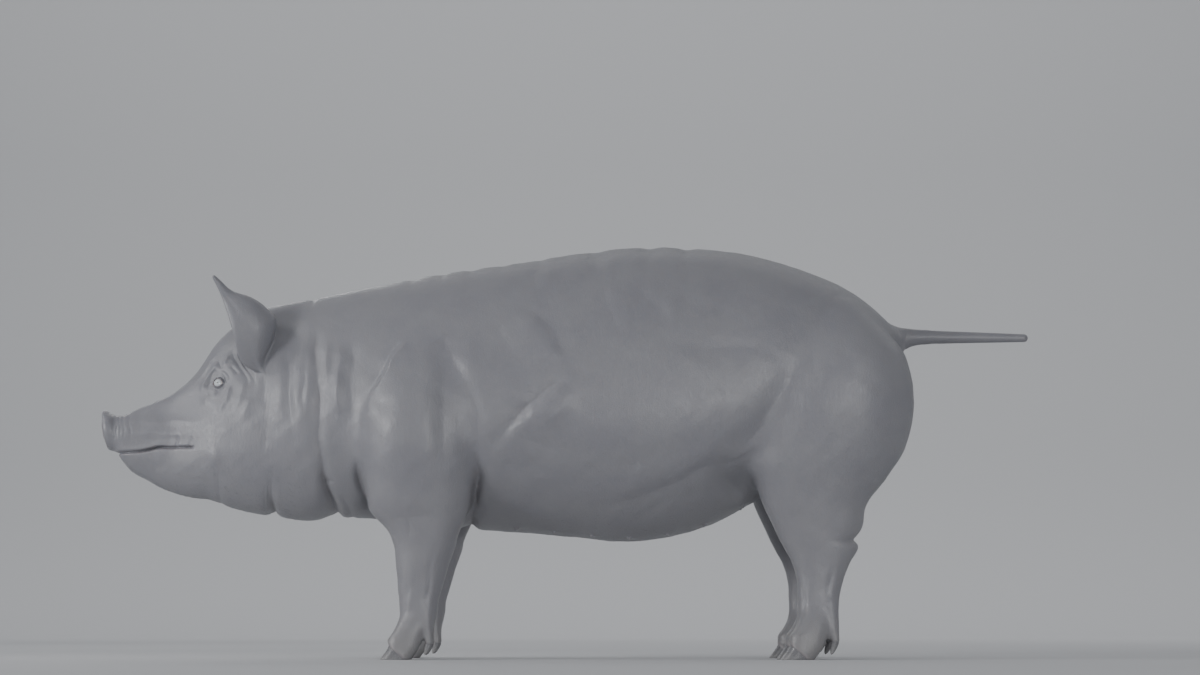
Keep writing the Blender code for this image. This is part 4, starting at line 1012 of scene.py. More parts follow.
@dataclass(frozen=True)
class Flesh:
    """The whole flesh of the right half: trunk and legs joined, folded, and each feature added."""

    features: tuple[Feature, ...]
    lattice: Lattice
    sheet: Array = field(init=False)

    def __post_init__(self) -> None:
        """Work out the side view's moves once, on the grid lines."""
        sheet = SIDE_VIEW.move(self.lattice.xs[:, None], self.lattice.zs[None, :])
        object.__setattr__(self, "sheet", sheet)

    def moves(self, x: Array, z: Array) -> Array:
        """The side view's moves at grid lines."""
        i = np.clip(np.searchsorted(self.lattice.xs, x - 1e-6), 0, len(self.lattice.xs) - 1)
        k = np.clip(np.searchsorted(self.lattice.zs, z - 1e-6), 0, len(self.lattice.zs) - 1)
        return self.sheet[i, k]

    def body(self, x: Array, y: Array, z: Array) -> Array:
        """Distance to the flesh with everything on it, horn included."""
        flesh = join(TRUNK.distance(x, y, z), FORELEG.distance(x, y, z), LIMB_BLEND)
        flesh = join(flesh, HINDLEG.distance(x, y, z), LIMB_BLEND) + self.moves(x, z)
        for feature in self.features:
            flesh = self.within(feature, feature.shape, flesh, x, y, z)
        return flesh

    def hide(self, x: Array, y: Array, z: Array) -> Array:
        """Distance to the hide: the flesh less the hide's depth, and hidden under the horn."""
        flesh = self.body(x, y, z) + HIDE_DEPTH
        for foot in FEET.values():
            flesh = self.within(foot, foot.hide, flesh, x, y, z)
        return np.maximum(flesh, 0.0004 - z)

    @staticmethod
    def within(feature: Feature, change: Callable[..., Array], flesh: Array, x: Array, y: Array,
               z: Array) -> Array:
        """Change the field only in the leading rows (blocks or sheets) that meet a box."""
        rows = flesh.shape[0]
        near = np.ones(rows, bool)
        for line, low, high in zip((x, y, z), feature.low, feature.high):
            flat = line.reshape(line.shape[0], -1)
            near &= np.broadcast_to((flat.max(1) >= low) & (flat.min(1) <= high), rows)
        if near.any():
            part = [line[near] if line.shape[0] == rows else line for line in (x, y, z)]
            flesh[near] = change(flesh[near], *part)
        return flesh


def flesh_lattice() -> Lattice:
    """Grid lines of the right half, finest at the eye, the lips and the feet."""
    return Lattice(
        xs=Lattice.lines(*mm(-990, 1.3, -930, 2, -765, 1.1, -688, 1.8, -560, 2.4, -390, 1.6, -240, 4, 420,
                             1.6, 585, 3, 720, 4, 985)),
        ys=Lattice.lines(*mm(0, 1.6, 45, 1.2, 105, 1.6, 205, 5, 265)),
        zs=Lattice.lines(*mm(-10, 1.3, 0, 1.4, 100, 3, 270, 2.6, 415, 1.1, 450, 2, 530, 1.2, 605, 2, 840,
                             4, 900)))


def add_mesh(name: str, points: Array, faces: Array) -> bpy.types.Object:
    """An object at the origin from whole arrays of points and faces with the same corner count.

    Args:
        name: The piece's name.
        points: Places in metres, one row each.
        faces: Point numbers, one row for each face; a number of -1 leaves a corner out.

    Returns:
        The object, shaded smooth.
    """
    mesh = bpy.data.meshes.new(name)
    kept = faces >= 0
    sizes = kept.sum(1)
    mesh.vertices.add(len(points))
    mesh.vertices.foreach_set("co", np.ascontiguousarray(points, np.float32).ravel())
    mesh.loops.add(int(sizes.sum()))
    mesh.loops.foreach_set("vertex_index", np.ascontiguousarray(faces[kept], np.int32))
    mesh.polygons.add(len(faces))
    starts = np.concatenate([[0], np.cumsum(sizes)[:-1]])
    mesh.polygons.foreach_set("loop_start", starts.astype(np.int32))
    mesh.update(calc_edges=True)
    mesh.shade_smooth()
    made = bpy.data.objects.new(name, mesh)
    bpy.context.collection.objects.link(made)
    return made


def ring_faces(rings: int, sides: int) -> Array:
    """Faces of a closed solid of revolution whose points are rings, then one for each end.

    Args:
        rings: How many rings of points there are.
        sides: How many points each ring has.

    Returns:
        Quads between neighbouring rings and triangles at the ends, facing out where each ring
        runs anticlockwise seen from the first end.
    """
    ring, k = np.arange(rings - 1)[:, None] * sides, np.arange(sides)
    after, last, pole = (k + 1) % sides, (rings - 1) * sides, np.full_like(k, rings * sides)
    sheet = np.stack([ring + k, ring + sides + k, ring + sides + after, ring + after], -1)
    front = np.stack([pole, k, after, np.full_like(k, -1)], -1)
    back = np.stack([pole + 1, last + after, last + k, np.full_like(k, -1)], -1)
    return np.concatenate([sheet.reshape(-1, 4), front, back])


def read(items: bpy.types.bpy_prop_collection, name: str, kind: type, width: int = 1) -> Array:
    """One property of all items of a mesh, one row each where it has several numbers."""
    flat = np.empty(len(items) * width, kind)
    items.foreach_get(name, flat)
    return flat.reshape(-1, width) if width > 1 else flat


def coordinates(mesh: bpy.types.Mesh) -> Array:
    """All points of a mesh, one row each."""
    return read(mesh.vertices, "co", np.float32, 3)


def thin_part(made: bpy.types.Object, chosen: Array, triangles: int) -> None:
    """Bring part of a mesh to a number of triangles, the rest left as it is.

    Args:
        made: The object.
        chosen: Whether each point may be collapsed.
        triangles: How many triangles that part may keep.
    """
    mesh = made.data
    sizes = read(mesh.polygons, "loop_total", np.int32)
    starts = read(mesh.polygons, "loop_start", np.int32)
    inner = chosen[read(mesh.loops, "vertex_index", np.int32)[starts]]
    held = int((sizes - 2)[~inner].sum())
    total = int((sizes - 2).sum())
    group = made.vertex_groups.new(name="thinned")
    group.add(np.flatnonzero(chosen).tolist(), 1.0, "REPLACE")
    thin = made.modifiers.new("thinned", "DECIMATE")
    thin.ratio = min(1.0, (held + triangles) / total)
    thin.vertex_group = group.name
    graph = bpy.context.evaluated_depsgraph_get()
    settled = bpy.data.meshes.new_from_object(made.evaluated_get(graph))
    made.modifiers.clear()
    made.vertex_groups.clear()
    made.data = settled
    bpy.data.meshes.remove(mesh)


def drop_slivers(made: bpy.types.Object, width: float) -> None:
    """Dissolve the faces thinner than a width, which would catch the light as fine lines."""
    work = bmesh.new()
    work.from_mesh(made.data)
    bmesh.ops.dissolve_degenerate(work, dist=width, edges=work.edges)
    bmesh.ops.triangulate(work, faces=[face for face in work.faces if len(face.verts) > 3])
    work.to_mesh(made.data)
    work.free()


# -------- finishes
def linear(colour: str) -> Colour:
    """An sRGB hex colour as linear light, with alpha 1.

    Each channel c is c / 12.92 up to 0.04045, and ((c + 0.055) / 1.055) to the power 2.4 above.
    """
    channels = [int(colour[k:k + 2], 16) / 255 for k in (1, 3, 5)]
    return (*[c / 12.92 if c <= 0.04045 else ((c + 0.055) / 1.055) ** 2.4 for c in channels], 1.0)


def add_node(tree: bpy.types.NodeTree, kind: str, settings: dict[str, object],
             links: dict[str, Socket]) -> bpy.types.Node:
    """Add a node to a tree.

    Args:
        tree: The material's nodes.
        kind: The node's type name.
        settings: Properties by name, or input values by socket name.
        links: What feeds each input, by socket name.

    Returns:
        The node.
    """
    node = tree.nodes.new(kind)
    for name, value in settings.items():
        if hasattr(node, name):
            setattr(node, name, value)
    sockets = {socket.name: socket for socket in reversed(node.inputs) if socket.enabled}
    for name, value in settings.items():
        if not hasattr(node, name):
            sockets[name].default_value = value
    for name, source in links.items():
        tree.links.new(source, sockets[name])
    return node


def per_metre(millimetres: float) -> float:
    """A texture scale whose features are so many millimetres across."""
    return 1000.0 / millimetres


@dataclass(frozen=True)
class Nodes:
    """One material's nodes, with the few kinds of step that the finishes are made of."""

    tree: bpy.types.NodeTree
    shader: bpy.types.Node

    def put(self, value: object, socket: Socket) -> None:
        """Link a socket to another, or set it to a constant."""
        if isinstance(value, Socket):
            self.tree.links.new(value, socket)
        else:
            socket.default_value = value

    def feed(self, inputs: dict[str, object]) -> None:
        """Link or set the shader's own inputs."""
        for name, value in inputs.items():
            self.put(value, self.shader.inputs[name])

    def place(self) -> Socket:
        """The place on the piece, in metres."""
        return add_node(self.tree, "ShaderNodeTexCoord", {}, {}).outputs["Object"]

    def axes(self, vector: Socket) -> list[Socket]:
        """The three numbers of a vector."""
        return list(add_node(self.tree, "ShaderNodeSeparateXYZ", {}, {"Vector": vector}).outputs)

    def attribute(self, name: str, output: str = "Fac") -> Socket:
        """What is kept on the piece's points under a name."""
        node = add_node(self.tree, "ShaderNodeAttribute", {"attribute_name": name}, {})
        return node.outputs[output]

    def noise(self, at: Socket, scale: float, detail: float = 2.0, **more: float) -> Socket:
        """Cloudy noise from 0 to 1; further inputs go by their names."""
        settings = {"Scale": scale, "Detail": detail, **more}
        return add_node(self.tree, "ShaderNodeTexNoise", settings, {"Vector": at}).outputs["Fac"]

    def stretch(self, at: Socket, scale: Point) -> Socket:
        """Places scaled along each axis."""
        node = add_node(self.tree, "ShaderNodeMapping", {"Scale": scale}, {"Vector": at})
        return node.outputs["Vector"]

    def math(self, operation: str, *values: object, kind: str = "ShaderNodeMath") -> Socket:
        """One step of arithmetic on numbers, or on vectors with the vector kind."""
        node = add_node(self.tree, kind, {"operation": operation}, {})
        for socket, value in zip(node.inputs, values):
            self.put(value, socket)
        return next(socket for socket in node.outputs if socket.enabled)

    def vector(self, operation: str, *values: object) -> Socket:
        """One step of arithmetic on vectors."""
        return self.math(operation, *values, kind="ShaderNodeVectorMath")

    def band(self, value: Socket, start: float, end: float, most: float) -> Socket:
        """A smooth step of a value from 0 at start to most at end."""
        node = add_node(self.tree, "ShaderNodeMapRange",
                        {"interpolation_type": "SMOOTHSTEP", "From Min": start, "From Max": end,
                         "To Min": 0.0, "To Max": most}, {"Value": value})
        return node.outputs["Result"]

    def blend(self, a: object, b: object, share: Socket) -> Socket:
        """Two colours mixed by a share; each is a colour or a socket."""
        settings: dict[str, object] = {"data_type": "RGBA"}
        links = {"Factor": share}
        for name, side in (("A", a), ("B", b)):
            (links if isinstance(side, Socket) else settings)[name] = side
        mixed = add_node(self.tree, "ShaderNodeMix", settings, links)
        return next(socket for socket in mixed.outputs if socket.enabled)

    def paint(self, ground: str, *coats: tuple[str, Socket, float, float, float]) -> Socket:
        """A colour with others laid over it.

        Args:
            ground: The first colour.
            coats: For each coat its colour, the value that spreads it, where in that value it
                starts, where it is full, and how much of it is laid on there.

        Returns:
            The colour that comes of it.
        """
        colour: object = linear(ground)
        for towards, value, start, end, most in coats:
            colour = self.blend(colour, linear(towards), self.band(value, start, end, most))
        return colour

    def relief(self, *layers: tuple[Socket, float, float]) -> None:
        """Bumps on the shader, each with its height, its strength and its depth in millimetres."""
        below: dict[str, Socket] = {}
        for height, strength, deep_mm in layers:
            node = add_node(self.tree, "ShaderNodeBump", {"Strength": strength,
                                                          "Distance": deep_mm / 1000},
                            {"Height": height, **below})
            below = {"Normal": node.outputs["Normal"]}
        self.feed(below)


class Finish:
    """A material with its own nodes, made once and shared."""

    name: ClassVar[str] = ""

    def dress(self, nodes: Nodes) -> None:
        """Add the nodes that feed the shader."""
        raise NotImplementedError

    def coat(self, piece: bpy.types.Object) -> None:
        """Give the finish to a piece as its only material."""
        made = bpy.data.materials.get(self.name)
        if made is None:
            made = bpy.data.materials.new(self.name)
            made.use_nodes = True
            self.dress(Nodes(made.node_tree, made.node_tree.nodes["Principled BSDF"]))
        piece.data.materials.clear()
        piece.data.materials.append(made)


@dataclass(frozen=True)
class Hide(Finish):
    """Slate-grey pig hide: dry and nearly bare, finely cross-hatched, with open pores.

    It gives the eye a soft broad sheen broken by fine lines, with painted shade that makes it darker
    and ruddier in the folds and at the coronets, and warmer where the blood shows: on the snout, lids,
    lips, teats and inside the ears.
    """

    name: ClassVar[str] = "pig_hide_slate_grey"
    base: str = "#848489"
    dark: str = "#808086"
    pale: str = "#8b8a8d"
    warm: str = "#8b8186"
    # painted shade, laid into the grooves of the folds and along the coronets
    fold: str = "#727074"
    dust: str = "#868481"
    mottle_mm: float = 95.0
    lump_mm: float = 34.0
    freckle_mm: float = 9.0
    line_mm: float = 7.5
    cell_mm: float = 4.2
    grain_mm: float = 1.3

    def dress(self, nodes: Nodes) -> None:
        """Colour from mottles, belly, painted shade in the folds, and flush; relief from lumps, lines,
        cells and pores.
        """
        place = nodes.place()
        _, _, height = nodes.axes(place)
        mottle = nodes.noise(place, per_metre(self.mottle_mm), 5.0, Roughness=0.58)
        freckle = nodes.noise(place, per_metre(self.freckle_mm), 3.0, Roughness=0.65)
        nodes.feed({"Base Color": nodes.paint(
            self.dark,
            (self.base, mottle, 0.36, 0.62, 1.0),
            (self.pale, freckle, 0.52, 0.74, 0.3),
            (self.pale, height, 0.4, 0.26, 0.3),
            (self.dust, height, 0.12, 0.01, 0.45),
            # painted shade: darker in the grooves of the folds and at the coronets
            (self.fold, nodes.attribute("crease"), 0.25, 1.0, 0.5),
            (self.warm, nodes.attribute("flush"), 0.05, 1.0, 0.8))})
        upright = nodes.stretch(place, (1.0, 1.0, 0.32))
        lines = nodes.noise(upright, per_metre(self.line_mm), 3.0, Roughness=0.55, Distortion=0.6)
        cells = add_node(nodes.tree, "ShaderNodeTexVoronoi",
                         {"feature": "DISTANCE_TO_EDGE", "Scale": per_metre(self.cell_mm)},
                         {"Vector": place})
        nodes.relief((nodes.noise(place, per_metre(self.lump_mm)), 0.3, 0.7),
                     (lines, 0.55, 0.9),
                     (nodes.band(cells.outputs["Distance"], 0.0, 0.16, 1.0), 0.45, 0.22),
                     (nodes.noise(place, per_metre(self.grain_mm)), 0.4, 0.22))
        rough = add_node(nodes.tree, "ShaderNodeMapRange", {"From Min": 0.3, "From Max": 0.7,
                                                            "To Min": 0.33, "To Max": 0.45},
                         {"Value": freckle})
        nodes.feed({"Roughness": rough.outputs["Result"], "IOR": KERATIN_IOR,
                    "Subsurface Weight": 0.06, "Subsurface Radius": (0.01, 0.005, 0.003),
                    "Subsurface Scale": 1.0})


@dataclass(frozen=True)
class Horn(Finish):
    """Hoof horn, grown in rings from the coronet and worn pale at its edge.

    It gives the eye a low waxy gloss over fine steps that lie level with the coronet.
    """

    name: ClassVar[str] = "hoof_horn_worn"
    root: str = "#747477"
    tip: str = "#8c8b8b"
    ring: str = "#626165"
    ring_mm: float = 2.6
    wobble_mm: float = 14.0
    streak_mm: float = 2.2

    def dress(self, nodes: Nodes) -> None:
        """Rings and streaks by the distance grown from the coronet, kept in an attribute."""
        place, grown = nodes.place(), nodes.attribute("grown")
        wobble = nodes.math("MULTIPLY", nodes.noise(place, per_metre(self.wobble_mm)), 7.0)
        turns = 2 * math.pi * per_metre(self.ring_mm)
        wave = nodes.math("SINE", nodes.math("MULTIPLY_ADD", grown, turns, wobble))
        streak = nodes.noise(place, per_metre(self.streak_mm), 3.0)
        nodes.feed({"Base Color": nodes.paint(
            self.root,
            (self.tip, grown, 0.004, 0.036, 1.0),
            (self.ring, wave, 0.2, 1.0, 0.25),
            (self.ring, streak, 0.5, 0.75, 0.2))})
        nodes.relief((wave, 0.5, 0.25), (streak, 0.5, 0.15))
        nodes.feed({"Roughness": nodes.band(streak, 0.2, 0.8, 0.55), "IOR": KERATIN_IOR})


@dataclass(frozen=True)
class EyeGloss(Finish):
    """A wet eyeball under clear cornea: cream white, pale grey-blue iris, level oval pupil.

    The clear coat gives the sharp wet highlight; iris fibres run out from the pupil.
    """

    name: ClassVar[str] = "eyeball_wet"
    white: str = "#e6e3df"
    vein: str = "#b59c95"
    iris: str = "#dadfe2"
    iris_dark: str = "#a3acb1"
    pupil: str = "#101012"
    iris_share: float = 0.66  # the iris's radius against the eyeball's
    pupil_share: tuple[float, float] = (0.20, 0.13)

    def dress(self, nodes: Nodes) -> None:
        """Rings by the distance from the gaze's axis, kept in an attribute over the eye."""
        gaze = nodes.attribute("gaze", "Vector")
        across, up, front = nodes.axes(gaze)
        flat = nodes.vector("MULTIPLY", gaze, (1.0, 1.0, 0.0))
        far = nodes.vector("LENGTH", flat)
        squeeze = (1 / self.pupil_share[0], 1 / self.pupil_share[1], 0.0)
        pupil = nodes.vector("LENGTH", nodes.vector("MULTIPLY", flat, squeeze))
        polar = add_node(nodes.tree, "ShaderNodeCombineXYZ", {},
                         {"X": nodes.math("ARCTAN2", up, across), "Y": far})
        fibres = nodes.stretch(polar.outputs["Vector"], (9.0, 1.5, 1.0))
        streak = nodes.noise(fibres, 2.2, 4.0, Roughness=0.6)
        veins = nodes.noise(gaze, 5.0, 5.0, Distortion=1.4)
        edge = self.iris_share
        white = nodes.paint(self.white, (self.vein, veins, 0.52, 0.66, 0.6))
        iris = nodes.paint(self.iris, (self.iris_dark, streak, 0.42, 0.7, 0.75),
                           (self.iris_dark, far, edge - 0.1, edge, 0.55))
        colour = nodes.blend(iris, white, nodes.band(far, edge - 0.015, edge + 0.035, 1.0))
        colour = nodes.blend(linear(self.pupil), colour, nodes.band(pupil, 0.94, 1.06, 1.0))
        colour = nodes.blend(linear(self.vein), colour, nodes.band(front, -0.05, 0.25, 1.0))
        nodes.feed({"Base Color": colour, "Roughness": 0.22, "IOR": 1.38, "Coat Weight": 1.0,
                    "Coat Roughness": 0.03})


@dataclass(frozen=True)
class BristleFinish(Finish):
    """Pig bristle: stiff smooth keratin, grey at the root and a little paler to the tip.

    It gives the eye thin glints along the back and a faint fuzz against the light.
    """

    name: ClassVar[str] = "pig_bristle"
    root: str = "#74737a"
    tip: str = "#919095"
    patch_mm: float = 12.0

    def dress(self, nodes: Nodes) -> None:
        """Colour along the bristle, kept in an attribute, and varied from one to the next."""
        patch = nodes.noise(nodes.place(), per_metre(self.patch_mm))
        rough = add_node(nodes.tree, "ShaderNodeMapRange", {"To Min": 0.34, "To Max": 0.46},
                         {"Value": patch})
        nodes.feed({"Base Color": nodes.paint(self.root,
                                              (self.tip, nodes.attribute("along"), 0.1, 1.0, 1.0),
                                              (self.root, patch, 0.45, 0.65, 0.5)),
                    "Roughness": rough.outputs["Result"], "IOR": KERATIN_IOR})


# -------- the animal's pieces
FLESH_NODES = ["trunk", "neck", "head", "jaw", "snout", "tail"] + [
    part + "_" + hand.word for part in ("ear", "foreleg", "hindleg") for hand in Hand]


def set_attribute(mesh: bpy.types.Mesh, name: str, values: Array, kind: str = "FLOAT") -> None:
    """Store one number, or one vector, for each point of a mesh."""
    made = mesh.attributes.new(name, kind, "POINT")
    key = "value" if kind == "FLOAT" else "vector"
    made.data.foreach_set(key, np.ascontiguousarray(values, np.float32).ravel())


def finish_piece(piece: bpy.types.Object, finish: Finish, slot: str, *nodes: str) -> None:
    """Dress a piece, set it on the body and hide the solids it stands for."""
    finish.coat(piece)
    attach(piece, "root")
    if nodes:
        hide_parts(*nodes)
    LOG.info("%s: %d faces", piece.name, len(piece.data.polygons))


@dataclass
class Skin:
    """The hide in one piece from snout to tail."""

    flesh: Flesh
    head_end: float = -0.54
    foot_height: float = 0.105

    def build(self) -> bpy.types.Object:
        """Mesh the field, thin it region by region, and keep the painted shade of its creases and the flush
        on its points.
        """
        points, quads = self.flesh.lattice.surface(self.flesh.hide, mirrored=True)
        LOG.info("hide net: %d quads", len(quads))
        made = add_mesh("hide", points, quads)
        for region, triangles in HIDE_TRIANGLES.items():
            thin_part(made, self.region(coordinates(made.data)) == region, triangles)
            LOG.info("hide thinned on the %s: %d faces", region, len(made.data.polygons))
        drop_slivers(made, SLIVER)
        made.data.shade_smooth()
        x, y, z = coordinates(made.data).T
        y = np.abs(y)
        flush = [feature.flush(x, y, z) * self.inside(feature, x, y, z)
                 for feature in self.flesh.features]
        lips = bell(SIDE_VIEW.lips.move(x, z) - 0.002, 0.002) * (x < -0.76) * (z > 0.42) * (z < 0.45)
        set_attribute(made.data, "flush", np.max(flush + [0.5 * lips], 0))
        # painted shade along the coronets, where the hide meets the horn
        coronet_shades = [bell(foot.above_coronet(x, y, z), 0.0022) * (z < 0.07) for foot in FEET.values()]
        set_attribute(made.data, "crease", np.max([SIDE_VIEW.crease(x, z), *coronet_shades], 0))
        finish_piece(made, Hide(), "skin", *FLESH_NODES)
        return made

    def region(self, points: Array) -> Array:
        """The name of the region that each point is in."""
        x, _, z = points.T
        return np.where(x < self.head_end, "head", np.where(z < self.foot_height, "feet", "trunk"))

    @staticmethod
    def inside(feature: Feature, x: Array, y: Array, z: Array) -> Array:
        """Whether each point is in a feature's box."""
        here = np.ones(len(x), bool)
        for line, low, high in zip((x, y, z), feature.low, feature.high):
            here &= (line >= low) & (line <= high)
        return here


@dataclass(frozen=True)
class Eyeball:
    """An eyeball turned a little forward, with the cornea's bulge.

    Rings of points about the gaze's axis: radius is the ball's plus the bulge times a smooth
    step that falls from the axis to the iris's edge.
    """

    hand: Hand
    gaze: Point = (-0.36, 0.92, 0.1)
    bulge: float = 0.0007
    rings: int = 40
    sides: int = 56

    def build(self) -> bpy.types.Object:
        """The ball as rings of points from the cornea's pole to the back's."""
        low, high = (np.array(corner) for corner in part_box("eye_" + self.hand.word))
        centre, radius = (low + high) / 2, (high - low).max() / 2
        mirror = np.array([1.0, self.hand.value, 1.0])
        ahead = unit(self.gaze) * mirror
        across = unit(np.cross((0.0, 0.0, 1.0), ahead)) * self.hand.value
        upward = unit(np.cross(ahead, across)) * self.hand.value
        polar = np.linspace(0, math.pi, self.rings + 1)[1:-1, None]
        turn = np.linspace(0, 2 * math.pi, self.sides, endpoint=False)[None, :]
        flat = np.stack([np.sin(polar) * np.cos(turn), np.sin(polar) * np.sin(turn),
                         np.cos(polar) * np.ones_like(turn)], -1).reshape(-1, 3)
        flat = np.concatenate([flat, [[0, 0, 1], [0, 0, -1]]])
        far = radius + self.bulge * ramp(np.hypot(flat[:, 0], flat[:, 1]), 0.6, 0.2) * (flat[:, 2] > 0)
        points = centre + far[:, None] * (flat[:, :1] * across + flat[:, 1:2] * upward
                                          + flat[:, 2:] * ahead)
        faces = ring_faces(self.rings - 1, self.sides)
        made = add_mesh("eyeball_" + self.hand.word, points, faces)
        set_attribute(made.data, "gaze", flat, "FLOAT_VECTOR")
        finish_piece(made, EyeGloss(), "eye", "eye_" + self.hand.word)
        return made


@dataclass(frozen=True)
class Hooves:
    """The horn of one foot: two hooves from the flesh's own field, and two dewclaw nails."""

    flesh: Flesh
    end: str
    hand: Hand
    step: float = 0.0011
    inset: float = 0.0008
    tuck: float = 0.0018  # how far the horn runs up under the hide
    nail_rings: int = 14
    nail_sides: int = 18
    nail_radius: float = 0.0068
    nail_rise: float = 0.22  # how far the nail starts above its root, as a share of its length
    nail_bend: float = 0.0022

    def build(self) -> list[bpy.types.Object]:
        """All four pieces of horn of the foot."""
        foot = FEET[self.end]
        return [self.hoof(foot, digit) for digit in ("inner", "outer")] + [
            self.nail(foot, digit) for digit in ("inner", "outer")]

    def mirror(self, points: Array, faces: Array) -> tuple[Array, Array]:
        """Points and faces on this foot's side of the body."""
        if self.hand is Hand.RIGHT:
            return points, faces
        return points * (1, -1, 1), faces[:, ::-1]

    def hoof(self, foot: Foot, digit: str) -> bpy.types.Object:
        """The flesh's surface below the coronet, closed by the coronet's plane."""
        outer = 1 if digit == "outer" else -1
        reach = 0.048 * foot.size
        low_y = foot.middle + (0.0 if outer > 0 else -1) * reach
        lattice = Lattice(
            xs=Lattice.lines(foot.toe - 0.012, self.step, foot.toe + 0.085 * foot.size),
            ys=Lattice.lines(low_y - 0.004, self.step, low_y + reach + 0.004),
            zs=Lattice.lines(-0.0088, self.step, 0.0, self.step, 0.055 * foot.size))
        flesh = Flesh(self.flesh.features, lattice)

        def horn(x: Array, y: Array, z: Array) -> Array:
            """The field of the horn of this digit only."""
            _, out, _ = foot.local(x, y, z)
            body = flesh.body(x, y, z) + self.inset
            above = foot.above_coronet(x, y, z) - self.tuck
            return np.maximum(np.maximum(both(body, above, 0.0008), -z), -outer * out)

        points, faces = self.mirror(*lattice.surface(horn, mirrored=False))
        name = "%s_%s_%s" % (self.end, self.hand.word, digit)
        made = add_mesh("horn_" + name, points, faces)
        x, y, z = coordinates(made.data).T
        set_attribute(made.data, "grown", -foot.above_coronet(x, y * self.hand.value, z))
        finish_piece(made, Horn(), "horn", "hoof_" + name)
        return made

    def nail(self, foot: Foot, digit: str) -> bpy.types.Object:
        """A dewclaw's nail: circles carried along its axis, widest below its root, closed blunt."""
        root, tip = (np.array(place) for place in foot.nail)
        share = np.linspace(0, 1, self.nail_rings)
        taper = 1 - np.clip((share - 0.15) / 0.86, 0, 1) ** 1.5
        radius = self.nail_radius * np.sqrt(np.clip(taper, 0.02, 1)) * (1 - 0.25 * bell(share, 0.12))
        start = root - (tip - root) * self.nail_rise
        bend = np.array([-self.nail_bend, 0, 0]) * (share ** 2)[:, None]
        spine = start + (tip - start) * share[:, None] * 1.12 + bend
        along = unit(tip - root)
        u = unit(np.cross(along, (0.0, 1.0, 0.0)))
        v = np.cross(along, u)
        turn = np.linspace(0, 2 * math.pi, self.nail_sides, endpoint=False)
        wall = spine[:, None] + radius[:, None, None] * (np.cos(turn)[:, None] * u * 1.05
                                                        + np.sin(turn)[:, None] * v * 0.86)
        points = np.concatenate([wall.reshape(-1, 3), spine[:1], spine[-1:] + along * 0.0008])
        if digit == "inner":
            points = points * (1, -1, 1)
        back, out, up = points.T
        points = np.stack(foot.world((back, out, up)), 1)
        faces = ring_faces(self.nail_rings, self.nail_sides)
        if (digit == "inner") == (self.hand is Hand.LEFT):
            faces = np.where(faces[:, 3:] < 0, faces[:, [1, 0, 2, 3]], faces[:, ::-1])
        points = points * (1, self.hand.value, 1)
        made = add_mesh("nail_%s_%s_%s" % (self.end, self.hand.word, digit), points, faces)
        grown = np.concatenate([np.repeat(share, self.nail_sides), [0, 1]]) * 0.03
        set_attribute(made.data, "grown", grown)
        finish_piece(made, Horn(), "horn")
        return made


@dataclass(frozen=True)
class Growth:
    """How the bristles stand on one part of the body."""

    to_square_metre: float
    shortest: float
    longest: float
    radius: float
    lift: float  # angle between hide and bristle at its root

    def lengths(self, chance: Array) -> Array:
        """Lengths for chances from 0 to 1, most of them near the shortest."""
        return self.shortest + (self.longest - self.shortest) * chance ** 1.6


